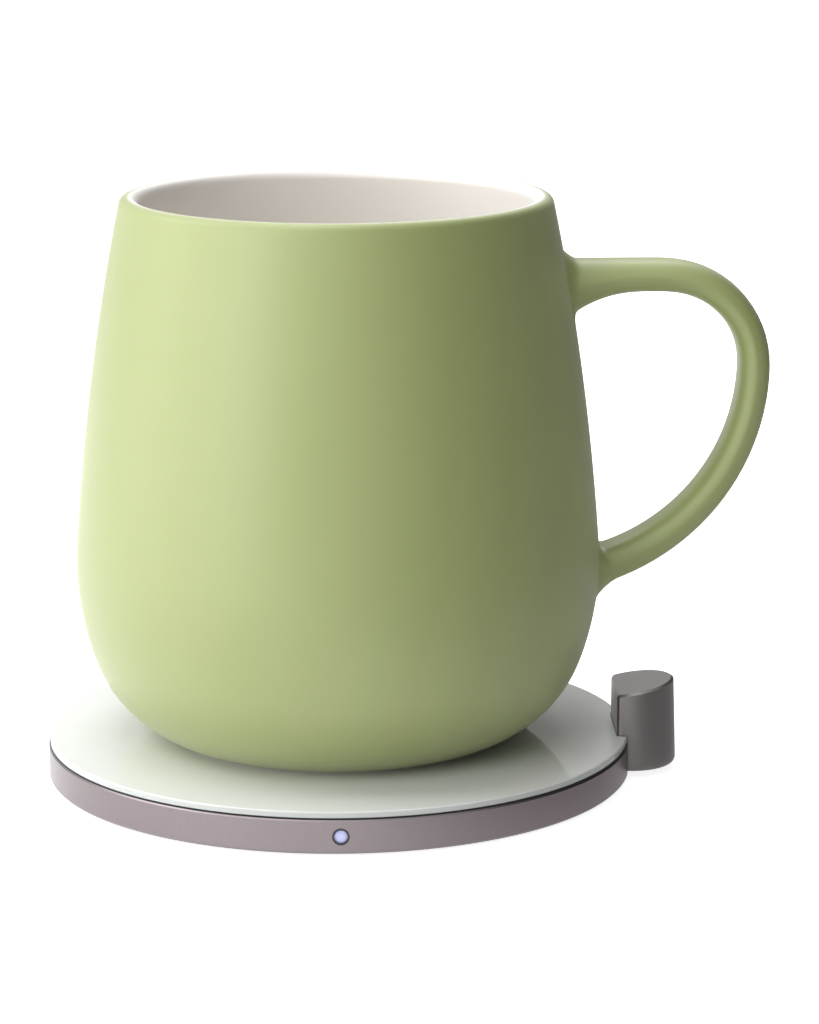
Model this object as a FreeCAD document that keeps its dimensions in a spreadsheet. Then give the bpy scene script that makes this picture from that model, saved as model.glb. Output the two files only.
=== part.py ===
import FreeCAD, Part
import math
import os
from types import SimpleNamespace

import Sketcher
from FreeCAD import Vector

# A low heated base with a glass top, and the porcelain mug that stands on it.
# The frame's origin is the centre of the base's underside, on the table. The mug's handle and
# the base's inlet post point along +X, and the status light looks along -Y. Lengths are in mm.

SIZES = {
    # shared: how far a cut runs past its piece, and how far a boss runs into its carrier
    "overshoot": 1.0,
    "merge_depth": 0.1,
    # rim: a turned aluminium ring with a flange inside its top edge
    "base_radius": 50.0,
    "rim_bottom": 0.4,
    "rim_height": 5.7,
    "rim_wall": 1.6,
    "rim_top_chamfer": 0.25,
    "rim_bottom_chamfer": 0.4,
    "flange_width": 2.0,
    "flange_thickness": 0.9,
    # glass top and what lies under it
    "gasket_thickness": 0.3,
    "gasket_setback": 0.2,
    "glass_thickness": 1.0,
    "glass_setback": 0.45,
    "glass_chamfer": 0.2,
    "shield_thickness": 0.3,
    "shield_hole_radius": 2.2,
    # underside
    "foot_pad_thickness": 0.8,
    "foot_pad_inset": 0.3,
    "plate_thickness": 1.0,
    "plate_gap": 0.2,
    "pilot_floor": 0.2,
    "lug_radius": 2.6,
    "lug_overlap": 0.4,
    "base_screw_radius": 0.8,
    "base_screw_head_radius": 1.6,
    "screw_head_height": 0.5,
    "thread_depth": 2.4,
    "screw_gap": 0.05,
    "screw_setback": 0.2,
    "screw_tip_gap": 0.1,
    # coil stack in the middle
    "bracket_radius": 29.5,
    "bracket_wall": 1.2,
    "bracket_floor": 0.8,
    "hub_radius": 5.7,
    "ferrite_thickness": 1.0,
    "coil_thickness": 0.9,
    "coil_inner_radius": 8.0,
    "stack_gap": 0.3,
    "lead_slot_width": 5.0,
    "lead_thickness": 0.9,
    "lead_spacing": 2.4,
    "lead_reach": 4.0,
    "sensor_radius": 1.5,
    "sensor_height": 1.0,
    # ring-shaped circuit board around it, notched where the rim's lugs or the post's tongue reach it
    "board_gap": 1.5,
    "board_outer_radius": 42.0,
    "notch_gap": 0.6,
    "board_thickness": 0.8,
    "standoff_height": 0.4,
    "standoff_radius": 2.0,
    "board_screw_inset": 2.5,
    "board_screw_radius": 0.7,
    "board_screw_head_radius": 1.3,
    "inductor_side": 7.0,
    "inductor_height": 2.2,
    "capacitor_length": 4.2,
    "capacitor_width": 3.0,
    "capacitor_height": 1.9,
    "transistor_length": 5.0,
    "transistor_width": 4.0,
    "chip_height": 0.9,
    "controller_side": 6.0,
    "header_length": 4.5,
    "header_width": 7.0,
    "header_height": 2.0,
    "board_edge": 0.8,
    # status light in the rim
    "led_length": 1.6,
    "led_depth": 0.8,
    "led_height": 0.7,
    "led_inset": 0.1,
    "light_gap": 0.3,
    "light_radius": 1.1,
    "bezel_wall": 0.3,
    "bezel_proud": 0.05,
    "bezel_back": 0.1,
    # inlet post: a round bar cut flat on the mug's side, with a slanting top
    "post_offset": 0.4,
    "post_radius": 7.85,
    "post_top_radius": 7.35,
    "post_flat_offset": 2.85,
    "post_bottom": 1.0,
    "post_height": 13.4,
    "post_slope": 0.17,
    "post_wall": 1.3,
    "post_roof": 1.3,
    "post_edge": 0.8,
    "post_top_chamfer": 0.35,
    "post_bottom_round": 1.0,
    "post_gap": 0.1,
    "post_cap_thickness": 1.2,
    "tongue_width": 10.0,
    "tongue_thickness": 1.4,
    "tongue_length": 4.95,
    "post_screw_spacing": 6.4,
    "wire_window_width": 7.0,
    # power socket and its board, upright in the post, so far above the middle of its hollow
    "socket_height": 0.05,
    "socket_width": 3.16,
    "socket_length": 8.94,
    "socket_depth": 7.3,
    "socket_wall": 0.3,
    "socket_corner": 1.5,
    "socket_setback": 0.7,
    "socket_back": 0.9,
    "tab_thickness": 0.7,
    "tab_width": 6.7,
    "tab_depth": 4.6,
    "socket_board_thickness": 0.8,
    "socket_board_gap": 0.7,
    "socket_board_front": 5.6,
    "socket_board_back": 4.5,
    "ribbon_thickness": 0.9,
    "ribbon_width": 6.0,
    "ribbon_lift": 0.2,
    # mug: three tangent arcs from foot to lip. The upper one starts so far above the belly's
    # widest place, and the foot's plane cuts this much off the bottom of the lower one.
    "belly_radius": 44.64,
    "belly_height": 30.0,
    "belly_arc": 48.5,
    "upper_arc": 431.0,
    "lower_arc": 21.6,
    "upper_join": 3.4,
    "foot_cut": 1.03,
    "mug_height": 92.4,
    "mug_wall": 3.2,
    "mug_floor": 5.0,
    "lip_round": 1.45,
    "foot_round": 0.8,
    "foot_ring_width": 3.4,
    "foot_recess": 0.9,
    "disc_thickness": 0.5,
    "disc_gap": 0.2,
    # handle: a flat bar with rounded edges, bent in two arcs, thicker at both roots. Its top lies
    # so far below the lip. Its flare starts at most so far from the wall, before the level part ends.
    "handle_top": 11.05,
    "handle_reach": 73.25,
    "handle_bend": 17.85,
    "handle_outer_sweep": 39.5,
    "handle_inner_sweep": 33.1,
    "handle_flare": 18.6,
    "handle_flare_start": 12.57,
    "handle_level": 0.5,
    "handle_width": 10.0,
    "handle_thickness": 5.3,
    "handle_edge": 2.3,
    "handle_fillet": 1.6,
    "handle_sink": 2.0,
}


class Size:
    """A length that carries its number and its formula over the sheet's cells."""

    def __init__(self, number, formula):
        self.number = number
        self.formula = formula

    def __add__(self, other):
        other = size(other)
        return Size(self.number + other.number, f"({self.formula} + {other.formula})")

    def __sub__(self, other):
        other = size(other)
        return Size(self.number - other.number, f"({self.formula} - {other.formula})")

    def __mul__(self, other):
        other = size(other)
        return Size(self.number * other.number, f"({self.formula} * {other.formula})")

    def __truediv__(self, other):
        other = size(other)
        return Size(self.number / other.number, f"({self.formula} / {other.formula})")

    def __neg__(self):
        return Size(-self.number, f"(0 - {self.formula})")


def size(thing):
    if isinstance(thing, Size):
        return thing
    return Size(float(thing), f"{float(thing):.6f}")


def root(square):
    return Size(math.sqrt(square.number), f"sqrt({square.formula})")


def smaller(one, other):
    return Size(min(one.number, other.number), f"min({one.formula}; {other.formula})")


doc = FreeCAD.newDocument("mug_warmer")
sheet = doc.addObject("Spreadsheet::Sheet", "Sizes")
for row, (name, number) in enumerate(SIZES.items(), 1):
    sheet.set(f"A{row}", name)
    sheet.set(f"B{row}", str(number))
    sheet.setAlias(f"B{row}", name)
doc.recompute()
s = SimpleNamespace(**{name: Size(number, f"Sizes.{name}") for name, number in SIZES.items()})

# Heights from the table up
plate_bottom = s.foot_pad_thickness
plate_top = plate_bottom + s.plate_thickness
rim_top = s.rim_bottom + s.rim_height
flange_bottom = rim_top - s.flange_thickness
glass_bottom = rim_top + s.gasket_thickness
glass_top = glass_bottom + s.glass_thickness
shield_bottom = glass_bottom - s.shield_thickness
coil_bottom = shield_bottom - s.coil_thickness
ferrite_bottom = coil_bottom - s.ferrite_thickness
board_bottom = plate_top + s.standoff_height
board_top = board_bottom + s.board_thickness
light_height = board_top + s.led_height / 2
tongue_top = plate_top + s.tongue_thickness
cap_top = s.post_bottom + s.post_cap_thickness
ribbon_bottom = tongue_top + s.ribbon_lift

# Radii and places seen from above
rim_inside = s.base_radius - s.rim_wall
flange_inside = rim_inside - s.flange_width
glass_radius = s.base_radius - s.glass_setback
plate_radius = rim_inside - s.plate_gap
lug_circle = rim_inside - s.lug_radius + s.lug_overlap
bracket_inside = s.bracket_radius - s.bracket_wall
coil_radius = bracket_inside - s.stack_gap
hub_inside = s.hub_radius - s.bracket_wall
post_x = s.base_radius + s.post_offset
post_flat = post_x - s.post_flat_offset
post_flat_inside = post_flat + s.post_wall
tongue_inner = post_flat - s.tongue_length
post_screw_x = (tongue_inner + post_flat) / 2
board_inner_radius = s.bracket_radius + s.board_gap
component_circle = (board_inner_radius + s.board_outer_radius) / 2
board_screw_circle = s.board_outer_radius - s.board_screw_inset
lug_notch_radius = s.lug_radius + s.notch_gap
tongue_notch = tongue_inner - s.notch_gap
header_outer = smaller(s.board_outer_radius, tongue_notch) - s.board_edge
socket_board_x = post_flat_inside + s.socket_board_gap
socket_x = socket_board_x + s.socket_board_thickness + s.socket_width / 2
socket_middle = (cap_top + s.post_bottom + s.post_height - s.post_roof) / 2 + s.socket_height
socket_front = s.post_radius - s.socket_setback
socket_rear = socket_front - s.socket_depth

NODES = []
LUG_ANGLES = (60, 3)
BOARD_SCREW_ANGLES = (22.5, 3)
INDUCTOR_ANGLE = 41.25
CAPACITOR_ANGLES = (82, 92, 102, -35)
TRANSISTOR_ANGLES = (156, 168, 192, 204)
CHIP_ANGLE = -115
LIGHT_ANGLE = -90

# Two places nearer than this are one, in mm; blended edges are only found to within the second
SAME_PLACE = 1e-3
ABOUT_THERE = 2e-2

# How a sketch numbers the points of a line or an arc
START, END, CENTRE = 1, 2, 3


def new_body(label):
    body = doc.addObject("PartDesign::Body", label)
    body.Label = label
    body.AllowCompound = True
    NODES.append(body)
    return body


def origin_plane(body, role):
    return next(item for item in body.Origin.OriginFeatures if item.Role == role)


def new_sketch(body, role, offset=None):
    sketch = body.newObject("Sketcher::SketchObject", f"{body.Name}_sketch")
    sketch.AttachmentSupport = (origin_plane(body, role), [""])
    sketch.MapMode = "FlatFace"
    if offset is not None:
        sketch.setExpression("AttachmentOffset.Base.z", size(offset).formula)
    return sketch


def drive(sketch, index, length):
    sketch.setExpression(f"Constraints[{index}]", length.formula)


def pin(sketch, geometry, position, x=None, y=None):
    """Ties a point's coordinates to the sheet; a plain 0 puts it on the axis."""
    for kind, axis, length in (("DistanceX", -2, x), ("DistanceY", -1, y)):
        if length is None:
            continue
        if isinstance(length, (int, float)) and length == 0:
            sketch.addConstraint(Sketcher.Constraint("PointOnObject", geometry, position, axis))
            continue
        length = size(length)
        rule = Sketcher.Constraint(kind, -1, 1, geometry, position, length.number)
        drive(sketch, sketch.addConstraint(rule), length)


def circle(sketch, radius, x=0, y=0):
    radius = size(radius)
    middle = Vector(size(x).number, size(y).number, 0)
    index = sketch.addGeometry(Part.Circle(middle, Vector(0, 0, 1), radius.number))
    drive(sketch, sketch.addConstraint(Sketcher.Constraint("Radius", index, radius.number)), radius)
    pin(sketch, index, CENTRE, x, y)


def polygon(sketch, corners):
    spots = [Vector(size(x).number, size(y).number, 0) for x, y in corners]
    count = len(corners)
    first = sketch.GeometryCount
    for k in range(count):
        sketch.addGeometry(Part.LineSegment(spots[k], spots[(k + 1) % count]))
    for k in range(count):
        after = first + (k + 1) % count
        sketch.addConstraint(Sketcher.Constraint("Coincident", first + k, END, after, START))
        pin(sketch, first + k, START, *corners[k])


def rectangle(sketch, x_low, x_high, y_low, y_high):
    polygon(sketch, [(x_low, y_low), (x_high, y_low), (x_high, y_high), (x_low, y_high)])


def rounded_rectangle(sketch, half_x, half_y, corner, x=0, y=0):
    """Four corner arcs, each pinned by its centre, joined by four lines."""
    x, y = size(x), size(y)
    first = sketch.GeometryCount
    quarter = math.pi / 2
    for k, (side_x, side_y) in enumerate(((1, 1), (-1, 1), (-1, -1), (1, -1))):
        centre_x = x + (half_x - corner) * side_x
        centre_y = y + (half_y - corner) * side_y
        middle = Vector(centre_x.number, centre_y.number, 0)
        round_corner = Part.Circle(middle, Vector(0, 0, 1), corner.number)
        arc = sketch.addGeometry(Part.ArcOfCircle(round_corner, k * quarter, (k + 1) * quarter))
        drive(sketch, sketch.addConstraint(Sketcher.Constraint("Radius", arc, corner.number)), corner)
        pin(sketch, arc, CENTRE, centre_x, centre_y)
        kinds = ("Horizontal", "Vertical") if k % 2 == 0 else ("Vertical", "Horizontal")
        sketch.addConstraint(Sketcher.Constraint(kinds[0], arc, CENTRE, arc, START))
        sketch.addConstraint(Sketcher.Constraint(kinds[1], arc, CENTRE, arc, END))
    corner_arcs = [first, first + 1, first + 2, first + 3]
    for before, after in zip(corner_arcs, corner_arcs[1:] + corner_arcs[:1]):
        spots = (sketch.getPoint(before, END), sketch.getPoint(after, START))
        line = sketch.addGeometry(Part.LineSegment(*spots))
        sketch.addConstraint(Sketcher.Constraint("Coincident", before, END, line, START))
        sketch.addConstraint(Sketcher.Constraint("Coincident", line, END, after, START))


def cut_round(sketch, radius, flat):
    """The post's section: a circle about post_x cut off by a straight line at flat."""
    middle = Vector(post_x.number, 0, 0)
    turn = math.acos((flat.number - post_x.number) / radius.number)
    ring = Part.Circle(middle, Vector(0, 0, 1), radius.number)
    arc = sketch.addGeometry(Part.ArcOfCircle(ring, -turn, turn))
    drive(sketch, sketch.addConstraint(Sketcher.Constraint("Radius", arc, radius.number)), radius)
    pin(sketch, arc, CENTRE, post_x, 0)
    line = sketch.addGeometry(Part.LineSegment(sketch.getPoint(arc, END), sketch.getPoint(arc, START)))
    sketch.addConstraint(Sketcher.Constraint("Coincident", arc, END, line, START))
    sketch.addConstraint(Sketcher.Constraint("Coincident", line, END, arc, START))
    pin(sketch, arc, START, flat)
    pin(sketch, arc, END, flat)


def extrude(body, kind, sketch, length, reverse=False, both_ways=False):
    feature = body.newObject(kind, f"{body.Name}_{kind.split('::')[1]}")
    feature.Profile = sketch
    feature.setExpression("Length", size(length).formula)
    feature.Reversed = reverse
    if both_ways:
        feature.SideType = "Symmetric"
    sketch.Visibility = False
    return feature


def pad(body, sketch, length, **options):
    return extrude(body, "PartDesign::Pad", sketch, length, **options)


def pocket(body, sketch, length, **options):
    doc.recompute()
    before = body.Shape.Volume
    feature = extrude(body, "PartDesign::Pocket", sketch, length, **options)
    doc.recompute()
    if body.Shape.Volume > before - SAME_PLACE:
        raise RuntimeError(f"{feature.Name} cuts nothing")
    return feature


def turn_about_z(body, kind, sketch):
    feature = body.newObject(kind, f"{body.Name}_{kind.split('::')[1]}")
    feature.Profile = sketch
    feature.ReferenceAxis = (sketch, ["V_Axis"])
    feature.Angle = 360
    return feature


def polar_pattern(body, feature, count):
    pattern = body.newObject("PartDesign::PolarPattern", f"{body.Name}_pattern")
    pattern.Originals = [feature]
    pattern.Axis = (next(a for a in body.Origin.OriginFeatures if a.Role == "Z_Axis"), [""])
    pattern.Angle = 360
    pattern.Occurrences = count
    body.Tip = pattern
    return pattern


def dress_edges(body, kind, size_name, length, wanted):
    """Rounds or bevels the edges of the body's last feature for which wanted(edge) holds."""
    doc.recompute()
    base = body.Tip
    names = [f"Edge{k}" for k, edge in enumerate(base.Shape.Edges, 1) if wanted(edge)]
    if not names:
        raise RuntimeError(f"{body.Name}: no edge found for {kind}")
    feature = body.newObject(kind, f"{body.Name}_{kind.split('::')[1]}")
    feature.Base = (base, names)
    feature.setExpression(size_name, length.formula)
    return feature


def fillet(body, radius, wanted):
    return dress_edges(body, "PartDesign::Fillet", "Radius", radius, wanted)


def chamfer(body, width, wanted):
    return dress_edges(body, "PartDesign::Chamfer", "Size", width, wanted)


def is_ring(edge, radius, height):
    """Whether an edge is a circle about the Z axis with this radius at this height."""
    curve = edge.Curve
    if not isinstance(curve, Part.Circle):
        return False
    misses = (math.hypot(curve.Center.x, curve.Center.y), curve.Radius - radius.number,
              curve.Center.z - height.number)
    return all(abs(miss) < SAME_PLACE for miss in misses)


def around(radius, degrees):
    """The place on a circle about the Z axis, tied to its radius."""
    angle = math.radians(degrees)
    return radius * math.cos(angle), radius * math.sin(angle)


def turned(label, corners):
    body = new_body(label)
    sketch = new_sketch(body, "XZ_Plane")
    polygon(sketch, corners)
    turn_about_z(body, "PartDesign::Revolution", sketch)
    return body


def disc_pad(body, bottom, top, radius, x=0, y=0, hole=None):
    sketch = new_sketch(body, "XY_Plane", bottom)
    circle(sketch, radius, x, y)
    if hole is not None:
        circle(sketch, hole, x, y)
    return pad(body, sketch, top - bottom)


def disc_pocket(body, bottom, top, radius, x=0, y=0):
    sketch = new_sketch(body, "XY_Plane", bottom)
    circle(sketch, radius, x, y)
    return pocket(body, sketch, top - bottom, reverse=True)


def clear_of_post(body, bottom, top):
    """Cuts the post's section, with its running gap, out of a layer of the base."""
    sketch = new_sketch(body, "XY_Plane", bottom - s.overshoot)
    cut_round(sketch, s.post_radius + s.post_gap, post_flat - s.post_gap)
    pocket(body, sketch, top - bottom + s.overshoot * 2, reverse=True)


def box_on_board(body, radius, degrees, along, across, height):
    """A component that stands square to the board's radius at this place."""
    sketch = new_sketch(body, "XY_Plane", board_top)
    angle = math.radians(degrees)
    corners = []
    for side_out, side_across in ((-1, -1), (1, -1), (1, 1), (-1, 1)):
        reach = radius + along * (side_out / 2)
        offset = across * (side_across / 2)
        corners.append((reach * math.cos(angle) - offset * math.sin(angle),
                        reach * math.sin(angle) + offset * math.cos(angle)))
    polygon(sketch, corners)
    return pad(body, sketch, height)


def make_rim_housing():
    body = turned("rim_housing", [
        (rim_inside, s.rim_bottom), (s.base_radius, s.rim_bottom), (s.base_radius, rim_top),
        (flange_inside, rim_top), (flange_inside, flange_bottom), (rim_inside, flange_bottom)])
    chamfer(body, s.rim_top_chamfer, lambda edge: is_ring(edge, s.base_radius, rim_top))
    chamfer(body, s.rim_bottom_chamfer, lambda edge: is_ring(edge, s.base_radius, s.rim_bottom))
    x, y = around(lug_circle, LUG_ANGLES[0])
    lug = disc_pad(body, plate_top, flange_bottom + s.merge_depth, s.lug_radius, x, y)
    polar_pattern(body, lug, LUG_ANGLES[1])
    pilot = disc_pocket(body, plate_top, plate_top + s.thread_depth, s.base_screw_radius + s.screw_gap, x, y)
    polar_pattern(body, pilot, LUG_ANGLES[1])
    clear_of_post(body, s.rim_bottom, rim_top)
    sketch = new_sketch(body, "XZ_Plane")
    circle(sketch, s.light_radius + s.bezel_wall, 0, light_height)
    pocket(body, sketch, s.base_radius + s.overshoot, reverse=True)


def make_glass_gasket():
    body = turned("glass_gasket", [
        (flange_inside, rim_top), (s.base_radius - s.gasket_setback, rim_top),
        (s.base_radius - s.gasket_setback, glass_bottom), (flange_inside, glass_bottom)])
    clear_of_post(body, rim_top, glass_bottom)


def make_glass_top():
    bevel = s.glass_chamfer
    body = turned("glass_top", [
        (0, glass_bottom), (glass_radius, glass_bottom), (glass_radius, glass_top - bevel),
        (glass_radius - bevel, glass_top), (0, glass_top)])
    clear_of_post(body, glass_bottom, glass_top)


def make_heat_shield():
    body = new_body("heat_shield")
    disc_pad(body, shield_bottom, glass_bottom, flange_inside - s.stack_gap, hole=s.shield_hole_radius)


def make_base_plate():
    body = new_body("base_plate")
    disc_pad(body, plate_bottom, plate_top, plate_radius)
    x, y = around(board_screw_circle, BOARD_SCREW_ANGLES[0])
    standoff = disc_pad(body, plate_top, board_bottom, s.standoff_radius, x, y)
    polar_pattern(body, standoff, BOARD_SCREW_ANGLES[1])
    pilot_bottom = plate_bottom + s.pilot_floor
    pilot = disc_pocket(body, pilot_bottom, board_bottom, s.board_screw_radius + s.screw_gap, x, y)
    polar_pattern(body, pilot, BOARD_SCREW_ANGLES[1])
    head_top = plate_bottom + s.screw_head_height
    x, y = around(lug_circle, LUG_ANGLES[0])
    for radius, top in ((s.base_screw_head_radius, head_top), (s.base_screw_radius, plate_top)):
        hole = disc_pocket(body, plate_bottom, top, radius + s.screw_gap, x, y)
        polar_pattern(body, hole, LUG_ANGLES[1])
    clear_of_post(body, plate_bottom, plate_top)
    for side in (-1, 1):
        y = s.post_screw_spacing * (side / 2)
        disc_pocket(body, plate_bottom, head_top, s.board_screw_head_radius + s.screw_gap, post_screw_x, y)
        disc_pocket(body, plate_bottom, plate_top, s.board_screw_radius + s.screw_gap, post_screw_x, y)


def make_foot_pad():
    body = new_body("foot_pad")
    disc_pad(body, 0, s.foot_pad_thickness, plate_radius - s.foot_pad_inset)
    clear_of_post(body, size(0), s.foot_pad_thickness)


def make_screw(body, head_bottom, head_radius, shank_low, shank_high, radius, x, y):
    head = disc_pad(body, head_bottom, head_bottom + s.screw_head_height, head_radius, x, y)
    shank = disc_pad(body, shank_low, shank_high, radius, x, y)
    return [head, shank]


def repeat_about_z(body, features, count):
    pattern = polar_pattern(body, features[0], count)
    pattern.Originals = features


def make_base_screws():
    body = new_body("base_screws")
    x, y = around(lug_circle, LUG_ANGLES[0])
    tip = plate_top + s.thread_depth - s.screw_gap
    parts = make_screw(body, plate_bottom, s.base_screw_head_radius, plate_bottom, tip,
                       s.base_screw_radius, x, y)
    repeat_about_z(body, parts, LUG_ANGLES[1])


def make_board_screws():
    body = new_body("board_screws")
    x, y = around(board_screw_circle, BOARD_SCREW_ANGLES[0])
    tip = plate_bottom + s.pilot_floor + s.screw_tip_gap
    parts = make_screw(body, board_top, s.board_screw_head_radius, tip, board_top + s.merge_depth,
                       s.board_screw_radius, x, y)
    repeat_about_z(body, parts, BOARD_SCREW_ANGLES[1])


def make_post_screws():
    body = new_body("post_screws")
    for side in (-1, 1):
        y = s.post_screw_spacing * (side / 2)
        make_screw(body, plate_bottom, s.board_screw_head_radius, plate_bottom, tongue_top - s.screw_setback,
                   s.board_screw_radius, post_screw_x, y)


def make_coil_bracket():
    floor_bottom = ferrite_bottom - s.bracket_floor
    body = turned("coil_bracket", [
        (hub_inside, plate_top), (s.hub_radius, plate_top), (s.hub_radius, floor_bottom),
        (bracket_inside, floor_bottom), (bracket_inside, plate_top), (s.bracket_radius, plate_top),
        (s.bracket_radius, shield_bottom), (bracket_inside, shield_bottom), (bracket_inside, ferrite_bottom),
        (s.hub_radius, ferrite_bottom), (s.hub_radius, shield_bottom), (hub_inside, shield_bottom)])
    sketch = new_sketch(body, "XY_Plane", coil_bottom)
    half = s.lead_slot_width / 2
    rectangle(sketch, -(s.bracket_radius + s.overshoot), -coil_radius, -half, half)
    pocket(body, sketch, shield_bottom - coil_bottom + s.overshoot, reverse=True)


def make_ferrite_disc():
    body = new_body("ferrite_disc")
    disc_pad(body, ferrite_bottom, coil_bottom, coil_radius, hole=s.hub_radius + s.stack_gap)


def make_transmit_coil():
    body = new_body("transmit_coil")
    disc_pad(body, coil_bottom, shield_bottom, coil_radius, hole=s.coil_inner_radius)


def make_coil_leads():
    """Two flat leads that leave the coil through the bracket's slot and drop to the board."""
    body = new_body("coil_leads")
    thick = s.lead_thickness
    low = coil_bottom
    outer = -(board_inner_radius + s.lead_reach / 2)
    for side in (-1, 1):
        sketch = new_sketch(body, "XZ_Plane", (s.lead_spacing * side - thick) / 2)
        polygon(sketch, [(-coil_radius, low + thick), (outer, low + thick), (outer, board_top),
                         (outer + thick, board_top), (outer + thick, low), (-coil_radius, low)])
        pad(body, sketch, thick)


def make_sensor_seat():
    body = new_body("sensor_seat")
    disc_pad(body, plate_top, glass_bottom - s.sensor_height, hub_inside - s.stack_gap)


def make_temperature_sensor():
    body = new_body("temperature_sensor")
    disc_pad(body, glass_bottom - s.sensor_height, glass_bottom, s.sensor_radius)


def make_main_board():
    body = new_body("main_board")
    disc_pad(body, board_bottom, board_top, s.board_outer_radius, hole=board_inner_radius)
    x, y = around(board_screw_circle, BOARD_SCREW_ANGLES[0])
    hole = disc_pocket(body, board_bottom, board_top, s.board_screw_radius + s.screw_gap, x, y)
    polar_pattern(body, hole, BOARD_SCREW_ANGLES[1])
    if s.board_outer_radius.number > (lug_circle - lug_notch_radius).number + SAME_PLACE:
        x, y = around(lug_circle, LUG_ANGLES[0])
        notch = disc_pocket(body, board_bottom, board_top, lug_notch_radius, x, y)
        polar_pattern(body, notch, LUG_ANGLES[1])
    if s.board_outer_radius.number > tongue_notch.number + SAME_PLACE:
        sketch = new_sketch(body, "XY_Plane", board_bottom)
        half = s.tongue_width / 2 + s.notch_gap
        rectangle(sketch, tongue_notch, s.board_outer_radius + s.overshoot, -half, half)
        pocket(body, sketch, s.board_thickness, reverse=True)


def make_components():
    box_on_board(new_body("power_inductor"), component_circle, INDUCTOR_ANGLE, s.inductor_side,
                 s.inductor_side, s.inductor_height)
    capacitors = new_body("filter_capacitors")
    for degrees in CAPACITOR_ANGLES:
        box_on_board(capacitors, component_circle, degrees, s.capacitor_width, s.capacitor_length,
                     s.capacitor_height)
    transistors = new_body("driver_transistors")
    for degrees in TRANSISTOR_ANGLES:
        box_on_board(transistors, component_circle, degrees, s.transistor_width, s.transistor_length,
                     s.chip_height)
    box_on_board(new_body("control_chip"), component_circle, CHIP_ANGLE, s.controller_side,
                 s.controller_side, s.chip_height)
    header_middle = header_outer - s.header_length / 2
    box_on_board(new_body("wire_header"), header_middle, 0, s.header_length, s.header_width, s.header_height)
    led_middle = s.board_outer_radius - s.led_depth / 2 - s.led_inset
    box_on_board(new_body("status_led"), led_middle, LIGHT_ANGLE, s.led_depth, s.led_length, s.led_height)


def make_light():
    bezel = new_body("light_bezel")
    sketch = new_sketch(bezel, "XZ_Plane", rim_inside - s.bezel_back)
    circle(sketch, s.light_radius + s.bezel_wall, 0, light_height)
    circle(sketch, s.light_radius, 0, light_height)
    pad(bezel, sketch, s.rim_wall + s.bezel_back + s.bezel_proud)
    pipe = new_body("light_pipe")
    inner_end = s.board_outer_radius + s.light_gap
    sketch = new_sketch(pipe, "XZ_Plane", inner_end)
    circle(sketch, s.light_radius, 0, light_height)
    pad(pipe, sketch, s.base_radius - inner_end)


def make_post_housing():
    body = new_body("post_housing")
    tallest = s.post_height + s.post_slope * s.post_radius * 2
    bar = body.newObject("PartDesign::AdditiveCone", "post_bar")
    bar.AttachmentSupport = (origin_plane(body, "XY_Plane"), [""])
    bar.MapMode = "FlatFace"
    bar.setExpression("AttachmentOffset.Base.x", post_x.formula)
    bar.setExpression("AttachmentOffset.Base.z", s.post_bottom.formula)
    bar.setExpression("Radius1", s.post_radius.formula)
    bar.setExpression("Radius2", s.post_top_radius.formula)
    bar.setExpression("Height", tallest.formula)
    past = s.overshoot
    reach = s.post_radius + past
    sketch = new_sketch(body, "XY_Plane", s.post_bottom - past)
    rectangle(sketch, post_x - reach, post_flat, -reach, reach)
    pocket(body, sketch, tallest + past * 2, reverse=True)

    def is_upright(edge):
        box = edge.BoundBox
        return abs(box.XMax - post_flat.number) < ABOUT_THERE and box.ZLength > tallest.number - ABOUT_THERE

    fillet(body, s.post_edge, is_upright)
    low = s.post_bottom + s.post_height
    far = post_x + reach
    near = post_flat - past
    above = s.post_bottom + tallest + past
    sketch = new_sketch(body, "XZ_Plane")
    polygon(sketch, [(near, low - s.post_slope * past), (far, low + s.post_slope * (far - post_flat)),
                     (far, above), (near, above)])
    pocket(body, sketch, reach * 2, both_ways=True)
    middle = (s.post_bottom + low).number / 2
    chamfer(body, s.post_top_chamfer, lambda edge: edge.BoundBox.ZMin > middle)
    fillet(body, s.post_bottom_round, lambda edge: edge.BoundBox.ZMax < s.post_bottom.number + SAME_PLACE)
    sketch = new_sketch(body, "XY_Plane", s.post_bottom)
    cut_round(sketch, s.post_radius - s.post_wall, post_flat_inside)
    pocket(body, sketch, s.post_height - s.post_roof, reverse=True)
    half = s.wire_window_width / 2
    sketch = new_sketch(body, "YZ_Plane", post_flat - past)
    rectangle(sketch, -half, half, tongue_top, flange_bottom)
    pocket(body, sketch, s.post_wall + past * 2, reverse=True)
    sketch = new_sketch(body, "XZ_Plane")
    gap = s.post_gap
    rounded_rectangle(sketch, s.socket_width / 2 + gap, s.socket_length / 2 + gap, s.socket_corner + gap,
                      socket_x, socket_middle)
    pocket(body, sketch, reach)
    sketch = new_sketch(body, "XY_Plane", plate_top)
    half = s.tongue_width / 2
    rectangle(sketch, tongue_inner, post_flat_inside, -half, half)
    pad(body, sketch, s.tongue_thickness)
    for side in (-1, 1):
        y = s.post_screw_spacing * (side / 2)
        disc_pocket(body, plate_top, tongue_top, s.board_screw_radius + s.screw_gap, post_screw_x, y)


def make_post_cap():
    body = new_body("post_cap")
    sketch = new_sketch(body, "XY_Plane", s.post_bottom)
    cut_round(sketch, s.post_radius - s.post_wall - s.post_gap, post_flat_inside + s.post_gap)
    pad(body, sketch, s.post_cap_thickness)


def make_power_socket():
    body = new_body("power_socket")
    sketch = new_sketch(body, "XZ_Plane", -socket_front)
    rounded_rectangle(sketch, s.socket_width / 2, s.socket_length / 2, s.socket_corner, socket_x,
                      socket_middle)
    pad(body, sketch, s.socket_depth)
    sketch = new_sketch(body, "XZ_Plane", -socket_front)
    wall = s.socket_wall
    rounded_rectangle(sketch, s.socket_width / 2 - wall, s.socket_length / 2 - wall, s.socket_corner - wall,
                      socket_x, socket_middle)
    pocket(body, sketch, s.socket_depth - s.socket_back, reverse=True)


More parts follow.
